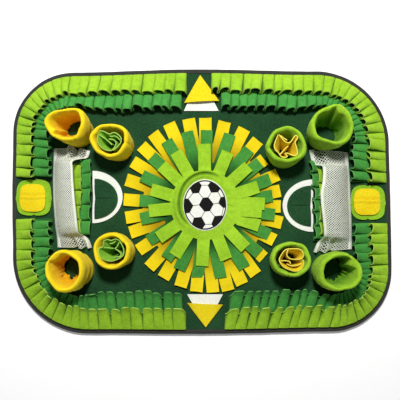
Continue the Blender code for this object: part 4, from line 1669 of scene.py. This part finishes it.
@dataclass(frozen=True)
class HalfRound(FlatPiece):
    """A penalty arc: a half round of felt, sewn round its arc."""

    straight_x: float
    middle_y: float
    bulge: float
    half: float

    def point(self, u: float, v: float) -> Vector:
        """Returns the point at a share out from the straight side and round the arc."""
        bearing = math.pi * (v - 0.5)
        kink = math.copysign(1.2 * MM, self.bulge) * bump_at(v - 0.5, 0.1) * (1 - u)
        x = self.straight_x + kink + self.bulge * u * math.cos(bearing)
        y = self.middle_y + self.half * math.sin(bearing)
        inside = abs(math.cos(bearing)) > TINY
        puff = 1.7 * MM * (1 - u**4) * math.cos(bearing) ** 0.5 * self.layer if inside else 0
        slit = bump_at(y - self.middle_y, 1.1 * MM)
        spot = Vector((x, y, SEWN_Z + self.layer * LAYER))
        puff += 0.25 * MM * ripple(spot, 45, 8) * (1 - u) * self.layer
        return spot + Vector((0, 0, puff * (1 - slit)))

    def build(self) -> None:
        """Builds the piece and the stitches round its arc."""
        flat = (abs(self.bulge), 2 * self.half)
        self.lay((20, 64), flat, flat, 0.785)
        self.stitch([self.point(0.94, 0.03 + 0.94 * i / 50) for i in range(51)])


HALF_ROUNDS = (
    HalfRound("half_round_white_left", *WHITE_UNDER, -0.2022, 0.0073, 0.0557, 0.0485),
    HalfRound("half_round_green_left", *GREEN_OVER, -0.1980, 0.0038, 0.0430, 0.0365),
    HalfRound("half_round_white_right", *WHITE_UNDER, 0.2063, -0.0088, -0.0565, 0.0485),
    HalfRound("half_round_green_right", *GREEN_OVER, 0.2017, -0.0096, -0.0440, 0.0370),
)


@dataclass(frozen=True)
class SquarePatch(FlatPiece):
    """A rounded square of felt with a pocket slit across its middle."""

    x: float
    y: float
    width: float
    height: float
    # How square it is, from 2 for an oval.
    power: float = 3.6

    def creased(self, x: float, y: float, out: float) -> float:
        """Returns how far the yellow felt stands up: above its crease it sinks to the line."""
        above = y - self.y - 1.9 * MM + 0.5 * MM * math.cos(x * 160)
        sunk = 1.7 * MM * (1 - ease(above / (9 * MM))) if above > 0 else 0.0
        swell = 1.3 * MM * (1 - ease(-above / (6 * MM))) if above <= 0 else 0.0
        return 0.9 * MM * (1 - out**3) + 1.7 * MM - sunk + swell

    def point(self, u: float, v: float) -> Vector:
        """Returns the point at a share out from the middle and round it."""
        bearing = math.tau * v
        c, s = math.cos(bearing), math.sin(bearing)
        size = (abs(c) ** self.power + abs(s) ** self.power) ** (-1 / self.power)
        x = self.x + self.width / 2 * size * c * u
        y = self.y + self.height / 2 * size * s * u
        spot = Vector((x, y, SEWN_Z + self.layer * LAYER))
        edge = 0.35 * MM * ripple(spot, 60, 3) * u
        if self.layer:
            rise = self.creased(x, y, u)
        else:
            # The rim curls up, most at the ends of the slit, which stand out a little.
            ends = bump_at(s + 0.05, 0.16)
            notch = bump_at(c, 0.10)
            rise = u**6 * (2.0 + 0.8 * math.sin(5 * bearing + self.x * 60) + 1.2 * ends - 1.4 * notch) * MM
            edge += (1.2 * ends - 1.8 * notch) * MM * u**3
        return spot + Vector((edge * c, edge * s, rise))

    def build(self) -> None:
        """Builds the piece and its stitches."""
        self.lay((26, 192), (self.width / 2, 0.2), (self.width, self.height), 0.94, edged=True)
        self.stitch([self.point(0.91, i / 80) for i in range(80)], closed=True)


SQUARES = (
    SquarePatch("square_lime_left", *LIME_UNDER, -0.3104, 0.0059, 0.0632, 0.0670),
    SquarePatch("square_yellow_left", *YELLOW_OVER, -0.3120, 0.0052, 0.0463, 0.0512),
    SquarePatch("square_lime_right", *LIME_UNDER, 0.3074, -0.0031, 0.0622, 0.0640),
    SquarePatch("square_yellow_right", *YELLOW_OVER, 0.3052, -0.0021, 0.0479, 0.0485),
)


@dataclass(frozen=True)
class Triangle(FlatPiece):
    """A felt triangle whose base is left open as a pocket."""

    tip: tuple[float, float]
    left: tuple[float, float]
    right: tuple[float, float]
    # How far the open base arches up.
    lift: float = 0.0

    def point(self, u: float, v: float) -> Vector:
        """Returns the point at a share down from the tip and across."""
        base = Vector(self.left).lerp(Vector(self.right), v)
        flat = Vector(self.tip).lerp(base, u)
        arch = self.lift * u**1.6 * math.sin(math.pi * v) ** 0.6 if 0 < v < 1 else 0.0
        spot = Vector((*flat, SEWN_Z + self.layer * LAYER))
        return spot + Vector((0, 0, arch + 0.2 * MM * (1 + ripple(spot, 40, 2)) * self.layer))

    def build(self) -> None:
        """Builds the piece and the stitches down its two sewn sides."""
        width = abs(self.right[0] - self.left[0])
        height = abs(self.tip[1] - self.left[1])
        self.lay((26, 26), (height, width), (width, height), 0.5)
        line = [self.point(mix(0.97, 0.12, i / 20), 0.07) for i in range(20)]
        line += [self.point(mix(0.12, 0.97, i / 20), 0.93) for i in range(21)]
        self.stitch(line)


TRIANGLES = (
    Triangle("triangle_white_top", *WHITE_UNDER,
             (-0.0030, 0.2340), (-0.0330, 0.1673), (0.0315, 0.1673)),
    Triangle("triangle_yellow_top", *YELLOW_OVER,
             (-0.0030, 0.2335), (-0.0320, 0.1815), (0.0320, 0.1850), 0.006),
    Triangle("triangle_white_bottom", *WHITE_UNDER,
             (0.0073, -0.2333), (-0.0268, -0.1726), (0.0390, -0.1726)),
    Triangle("triangle_yellow_bottom", *YELLOW_OVER,
             (0.0073, -0.2328), (-0.0262, -0.1885), (0.0385, -0.1915), 0.005),
)


# ---- rosette

# The middles of the rosette and of the patch on it.
ROSETTE = Vector((0.0067, -0.0082))
BALL = Vector((0.0059, -0.0080))


@dataclass(frozen=True)
class RosetteLayer:
    """A disc of fleece slit into strips all round."""

    name: str
    finish: Finish
    level: int
    # The uncut middle's radius, a strip's width and how far its end lifts.
    root: float
    width: float
    lift: float
    # One strip each, clockwise: bearing in degrees and reach in mm.
    strips: tuple[tuple[float, float], ...]
    # From where to where the layer on top keeps the light off it.
    shaded: tuple[float, float] = (0.0, 0.0)
    across: int = 5
    rows: int = 12

    @property
    def on_top(self) -> bool:
        """Whether it is the upper layer."""
        return self.level == 2

    @property
    def height(self) -> float:
        """The middle of the layer's cloth."""
        return SEWN_Z + self.level * LAYER

    def bearing(self, strip: int, share: float) -> float:
        """Returns the bearing of a strip's root at a share across it."""
        own = self.strips[strip][0]
        before = (self.strips[strip - 1][0] - own) % 360
        after = (own - self.strips[(strip + 1) % len(self.strips)][0]) % 360
        half = math.degrees(self.width / 2 / self.root)
        left, right = min(half, before * 0.49), min(half, after * 0.49)
        return math.radians(own + left - (left + right) * share)

    @staticmethod
    def groove(bearing: float) -> tuple[float, float]:
        """Returns the radius of the crease round the patch at a bearing, and how strong it is."""
        radius = (49 + 10 * max(math.sin(bearing), 0.0) ** 2) * MM
        return radius, ease((math.cos(bearing - math.radians(145)) + 0.05) / 0.6)

    def relief(self, radius: float, bearing: float) -> float:
        """Returns how far the disc stands up at a radius: it is gathered round the patch."""
        if not self.on_top:
            return 0.0
        groove, strong = self.groove(bearing)
        away = radius - groove
        pucker = 1 + 0.35 * math.sin(19 * bearing + 2 * math.sin(3 * bearing))
        gathered = 1.4 * MM * bump_at(radius - 50 * MM, 9 * MM) * pucker
        fold = 2.6 * MM * bump_at(away + 4.4 * MM, 3.6 * MM) + 5.0 * MM * bump_at(away - 4.2 * MM, 5.5 * MM)
        crease = 6.0 * MM * bump_at(away, 2.4 * MM)
        return max(gathered + strong * (fold - crease), -0.2 * MM)

    def crushed(self, spot: Vector) -> float:
        """Returns the shade painted on a point of the layer: under the layer on top, fading out from the
        root, and in the crease round the patch.
        """
        away = spot.to_2d() - ROSETTE
        if not self.on_top:
            first, last = self.shaded
            return 0.85 * (1 - ease((away.length - first) / (last - first)))
        groove, strong = self.groove(math.atan2(away.y, away.x))
        return (0.04 + 0.80 * strong) * bump_at(away.length - groove + 1 * MM, 3.0 * MM)

    def disc(self) -> Piece:
        """Builds the uncut middle of the disc."""
        count, across = len(self.strips), self.across
        columns = count * (across + 1)
        fine = 44 if self.on_top else 8
        rings = [0.0, 0.2, 0.4, 0.55, *(mix(0.62, 1.0, i / fine) for i in range(fine + 1))]

        def place(u: float, v: float) -> Vector:
            """Returns the point at a share round the disc and out."""
            column = round(u * columns) % columns
            strip, j = divmod(column, across + 1)
            bearing = self.bearing(strip, j / across)
            radius = self.root * rings[round(v * (len(rings) - 1))]
            z = self.height + self.relief(radius, bearing)
            return Vector((*(ROSETTE + radius * unit(bearing)), z))

        size = (math.tau * self.root, self.root)
        return Bench.cloth(f"{self.name}_fleece", columns, len(rings) - 1, place, size, weld=True)

    def strip(self, index: int, chance: random.Random) -> Piece:
        """Builds one strip, from its root on the disc to its cut end."""
        bearing, reach = self.strips[index]
        shares = [j / self.across for j in range(self.across + 1)]
        roots = [ROSETTE + self.root * unit(self.bearing(index, share)) for share in shares]
        middle = (roots[0] + roots[-1]) / 2
        turn = math.radians(bearing)
        tip = ROSETTE + reach * MM * unit(turn)
        axis = (tip - middle).normalized()
        aside = Vector((-axis.y, axis.x))
        lift = self.lift * chance.uniform(0.5, 1.7)
        twist = chance.uniform(-0.13, 0.13)
        cup_in = chance.uniform(-0.4, 1.2) * MM
        hump = (0.5 + 1.15 * self.level + chance.uniform(0.0, 1.1)) * MM
        seed = chance.uniform(0, 50)
        width = self.width * chance.uniform(0.97, 1.0)
        # A strip that crowds the one before it lies on top of it.
        crowded = self.on_top and (self.strips[index - 1][0] - bearing) % 360 < 12
        over = LAYER * 1.3 if crowded else 0.0

        def place(u: float, v: float) -> Vector:
            """Returns the point at a share across the strip and out."""
            side = 0.5 - u
            flat = middle.lerp(tip, v) + aside * side * width
            if v == 0:
                flat = roots[round(u * self.across)]
            spot = Vector((*flat, self.height + self.relief((flat - ROSETTE).length, turn)))
            fray = 0.35 * MM * ripple(spot, 90, seed) * ease(v * 3)
            up = lift * v**2.2 + hump * math.sin(math.pi * min(v * 1.1, 1.0)) ** 0.7 * ease(v * 4)
            up += twist * side * width * v + cup_in * (4 * side * side) * v
            up += 0.5 * MM * ripple(spot, 45, seed + 3) * ease(v * 2) + over * ease(v * 5)
            return spot + Vector((*((axis + aside * side) * fray), max(up, 0.0)))

        size = (self.width, reach * MM - self.root)
        return Bench.cloth(f"{self.name}_strip", self.across, self.rows, place, size)

    def build(self) -> None:
        """Builds the layer as one piece."""
        chance = random.Random(self.name)
        parts = [self.disc(), *(self.strip(i, chance) for i in range(len(self.strips)))]
        disc = Bench.join(parts, f"{self.name}_fleece")
        Bench.weld(disc)
        # Painted shade under the layer on top and in the crease round the patch.
        Bench.crush(disc, [self.crushed(vertex.co) for vertex in disc.data.vertices])
        Bench.thicken(disc, FLEECE, self.finish)
        Bench.hand_over(disc, self.finish, [self.name])
        reach = max(r for _, r in self.strips) * MM
        area = math.pi * self.root**2
        area += sum(self.width * (r * MM - self.root) for _, r in self.strips)
        2 * reach
        2 * reach


YELLOW_STRIPS = (
    (101, 163), (90, 162), (77, 159), (63, 159), (51, 155), (38, 138), (23, 146), (11, 141), (-1, 139),
    (-13, 145), (-27, 143), (-42, 145), (-54, 158), (-65, 161), (-75, 163), (-85, 161), (-96, 160),
    (-107, 157), (-120, 155), (-132, 155), (-146, 149), (-160, 148), (-171, 149), (176, 151), (162, 154),
    (149, 157), (137, 162), (126, 165), (114, 166),
)
GREEN_STRIPS = (
    (89, 139), (71, 139), (52, 131), (38, 128), (22, 129), (8, 125), (-8, 129), (-25, 130), (-42, 133),
    (-58, 136), (-78, 137), (-96, 134), (-112, 128), (-126, 122), (-148, 123), (-168, 122), (176, 122),
    (155, 129), (138, 134), (121, 139), (104, 140),
)
LIME_STRIPS = (
    (91, 113), (67, 106), (42, 107), (19, 103), (1, 109), (-7, 104), (-21, 106), (-47, 108), (-69, 107),
    (-93, 112), (-121, 109), (-145, 105), (-174, 104), (164, 104), (138, 109), (119, 112),
)
LOW_YELLOW = ("rosette_yellow", Finishes.YELLOW, 0, 0.116, 0.0235, 0.0025)
LOW_GREEN = ("rosette_green", Finishes.PETAL_GREEN, 1, 0.080, 0.0225, 0.0025)
TOP_LIME = ("rosette_lime", Finishes.PETAL_LIME, 2, 0.064, 0.0232, 0.0035)
ROSETTE_LAYERS = (
    RosetteLayer(*LOW_YELLOW, YELLOW_STRIPS, (0.088, 0.146)),
    RosetteLayer(*LOW_GREEN, GREEN_STRIPS, (0.066, 0.108)),
    RosetteLayer(*TOP_LIME, LIME_STRIPS),
)


@dataclass(frozen=True)
class BallPatch:
    """The oval patch with a football's panels appliqued on it."""

    half_x: float = 40.6 * MM
    half_y: float = 47.2 * MM
    # How far its middle stands up, and the gap between two panels.
    dome: float = 2.6 * MM
    seam: float = 1.1 * MM
    # The middles of the panels, in mm from the patch's own. Those of the
    # slices at the rim lie outside it.
    black: tuple[tuple[float, float], ...] = (
        (2.6, 1.1), (-18.5, 31.7), (17.5, 32.6), (37.1, 6.2), (24.7, -31.8), (-11.9, -33.7), (-35.9, -2.1),
    )
    white: tuple[tuple[float, float], ...] = (
        (0.4, 24.9), (-16.7, 11.7), (-13.9, -12.9), (5.7, -24.2), (22.5, -9.2), (18.4, 14.0),
        (0.4, 47.3), (-33.0, 24.6), (-31.7, -27.9), (6.2, -47.0), (42.8, -13.2), (35.1, 23.1),
    )

    def on_dome(self, x: float, y: float, up: float) -> Vector:
        """Returns a point over the patch at an offset from its middle."""
        out = min((x / self.half_x) ** 2 + (y / self.half_y) ** 2, 1.0)
        base = SEWN_Z + 3 * LAYER
        return Vector((BALL.x + x, BALL.y + y, base + self.dome * (1 - out) + up))

    def centres(self) -> list[tuple[Vector, bool]]:
        """Returns the panels' middles, and whether each is black."""
        named = [(spot, True) for spot in self.black] + [(spot, False) for spot in self.white]
        return [(Vector(spot) * MM, dark) for spot, dark in named]

    def ellipse(self, share: float, steps: int = 72) -> list[Vector]:
        """Returns points round an oval that is this share of the patch."""
        bearings = [math.tau * i / steps for i in range(steps)]
        half_x, half_y = share * self.half_x, share * self.half_y
        return [Vector((half_x * math.cos(b), half_y * math.sin(b))) for b in bearings]

    def panel_outline(self, index: int, centres: Sequence[tuple[Vector, bool]]) -> list[Vector]:
        """Returns the part of the oval that is nearest to one panel's middle, or nothing."""
        middle = centres[index][0]
        outline = self.ellipse(0.912)
        for i, (other, _) in enumerate(centres):
            if i == index:
                continue
            away = other - middle
            limit = away.length / 2 - self.seam / 2
            axis = away.normalized()
            kept: list[Vector] = []
            for a, b in zip(outline, outline[1:] + outline[:1]):
                da, db = (a - middle).dot(axis) - limit, (b - middle).dot(axis) - limit
                if da <= 0:
                    kept.append(a)
                if (da < 0) != (db < 0):
                    kept.append(a.lerp(b, da / (da - db)))
            outline = kept
            if len(outline) < 3:
                return []
        return outline

    def oval(self, name: str, share: float, up: float, thickness: float) -> Piece:
        """Builds an oval layer, this share of the patch and this far up from it."""
        half_x, half_y = share * self.half_x, share * self.half_y

        def place(u: float, v: float) -> Vector:
            """Returns the point at a share round the oval and out."""
            bearing = math.tau * u
            return self.on_dome(half_x * v * math.cos(bearing), half_y * v * math.sin(bearing), up)

        piece = Bench.cloth(name, 72, 10, place, (0.25, 0.04), weld=True)
        Bench.thicken(piece, thickness)
        return piece

    def build(self) -> None:
        """Builds the patch, the black ground, the white panels and the edge stitches."""
        patch = self.oval("ball_patch_felt", 1.0, 0.0, FLEECE)
        Bench.hand_over(patch, Finishes.WHITE, ["ball_patch"])
        ground = self.oval("ball_black_ground", 0.962, 1.0 * MM, 0.5 * MM)
        Bench.hand_over(ground, Finishes.BALL_BLACK)
        centres = self.centres()
        outlines = [self.panel_outline(i, centres) for i, (_, black) in enumerate(centres) if not black]
        panels = [self.build_panel(outline) for outline in outlines if outline]
        Bench.hand_over(Bench.join(panels, "ball_white_panels"), Finishes.WHITE)
        self.build_stitches()

    def build_stitches(self) -> None:
        """Builds the stitches that gather the rosette round the patch, and the patch's own."""
        lime = ROSETTE_LAYERS[-1]
        gathers = []
        for spot in self.ellipse(1.07, 120):
            away = BALL + spot - ROSETTE
            up = lime.relief(away.length, math.atan2(away.y, away.x)) + THREAD_UP
            gathers.append(Vector((*(BALL + spot), lime.height + up)))
        StitchRow(
            "ball_ring_stitches", gathers, Finishes.THREAD_GREEN, closed=True,
            pitch=6.5 * MM, stitch=2.0 * MM, thickness=0.5 * MM,
        ).build()
        rim = [self.on_dome(p.x, p.y, FLEECE / 2 + 0.3 * MM) for p in self.ellipse(0.978)]
        StitchRow(
            "ball_patch_stitches", rim, Finishes.THREAD_WHITE, closed=True,
            pitch=2.4 * MM, stitch=2.2 * MM, thickness=0.8 * MM,
        ).build()

    def build_panel(self, outline: Sequence[Vector]) -> Piece:
        """Builds one white panel over the dome from its outline."""
        Bench.deselect()
        bpy.ops.mesh.primitive_circle_add(vertices=len(outline), radius=1.0, fill_type="TRIFAN")
        panel = bpy.context.object
        middle = sum(outline, Vector((0, 0))) / len(outline)

        def place(at: Vector) -> Vector:
            """Returns the outline's point for one of the circle, or the middle."""
            if at.length < 0.5:
                return middle.to_3d()
            turn = math.atan2(at.y, at.x) - math.pi / 2
            return outline[round(turn / math.tau * len(outline)) % len(outline)].to_3d()

        Bench.reshape(panel, place)
        with Bench.editing(panel):
            bpy.ops.mesh.subdivide(number_cuts=2)
        Bench.weld(panel)
        Bench.reshape(panel, lambda at: self.on_dome(at.x, at.y, 1.5 * MM))
        Bench.thicken(panel, 0.6 * MM)
        return panel


# ---- studio


@dataclass(frozen=True)
class Studio:
    """The floor, the light and the camera."""

    # Where the camera stands, how far it tilts (degrees) and how it is set.
    eye: tuple[float, float, float] = (0.0006, -0.0780, 1.006)
    tilt: float = 1.0
    lens: float = 48.6
    sensor: float = 36.0
    shift: tuple[float, float] = (-0.0051, 0.084)
    # Where the lamp hangs, how wide it is, its power, the sky's and the floor's.
    lamp: tuple[float, float, float] = (-0.05, 0.80, 1.50)
    lamp_size: float = 0.30
    lamp_power: float = 33.0
    sky: float = 0.19
    glow: float = 0.145
    floor_size: float = 14.0
    # How far the floor lies under the mat's own felt.
    gap: float = 3.4 * MM

    def build(self) -> None:
        """Sets up the studio."""
        self.build_floor()
        self.build_light()
        self.build_camera()

    def build_floor(self) -> None:
        """Lays a white floor that glows a little."""
        Bench.deselect()
        bpy.ops.mesh.primitive_plane_add(size=self.floor_size, location=(0, 0, -self.gap))
        floor = bpy.context.object
        floor.name = "floor"
        board = Board("studio_floor")
        speckle = board.cloud(board.place(), 60, 2)
        floor.data.materials.append(
            board.finish(
                board.blend((0.93, 0.93, 0.93), (0.95, 0.95, 0.95), speckle), speckle, 0.1 * MM, 0.1, 0.9,
                Specular_IOR_Level=0.1, Emission_Color=(1.0, 1.0, 1.0), Emission_Strength=self.glow,
            )
        )

    def build_light(self) -> None:
        """Hangs a round lamp over the top edge and sets an even white sky."""
        bpy.ops.object.light_add(type="AREA", location=self.lamp)
        key = bpy.context.object
        key.name = "key_light"
        key.rotation_euler = (-Vector(self.lamp)).to_track_quat("-Z", "Y").to_euler()
        key.data.shape = "DISK"
        key.data.size = self.lamp_size
        key.data.energy = self.lamp_power
        world = bpy.data.worlds.new("studio")
        bpy.context.scene.world = world
        world.use_nodes = True
        sky = world.node_tree.nodes["Background"].inputs
        sky["Color"].default_value = (1.0, 1.0, 1.0, 1.0)
        sky["Strength"].default_value = self.sky

    def build_camera(self) -> None:
        """Hangs the camera over the mat, as in the photograph."""
        bpy.ops.object.camera_add(location=self.eye, rotation=(math.radians(self.tilt), 0, 0))
        camera = bpy.context.object
        camera.name = "photo_camera"
        camera.data.lens = self.lens
        camera.data.sensor_width = self.sensor
        camera.data.shift_x, camera.data.shift_y = self.shift
        scene = bpy.context.scene
        scene.camera = camera
        scene.view_settings.view_transform = "Standard"


def corners(box: tuple[Vector, Vector]) -> list[list[float]]:
    """Returns a box's two corners as plain lists."""
    return [[round(x, 6) for x in corner] for corner in box]


def main() -> None:
    """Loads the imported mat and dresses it."""
    logging.basicConfig(level=logging.INFO, format="%(name)s: %(message)s")
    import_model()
    Studio().build()
    Base().build()
    RimRuffles().build()
    GoalRuffles().build()
    for part in (*CUPS, *FILLINGS, *NETS, *HALF_ROUNDS, *SQUARES, *TRIANGLES, *ROSETTE_LAYERS):
        part.build()
    BallPatch().build()


if __name__ == "__main__":
    main()
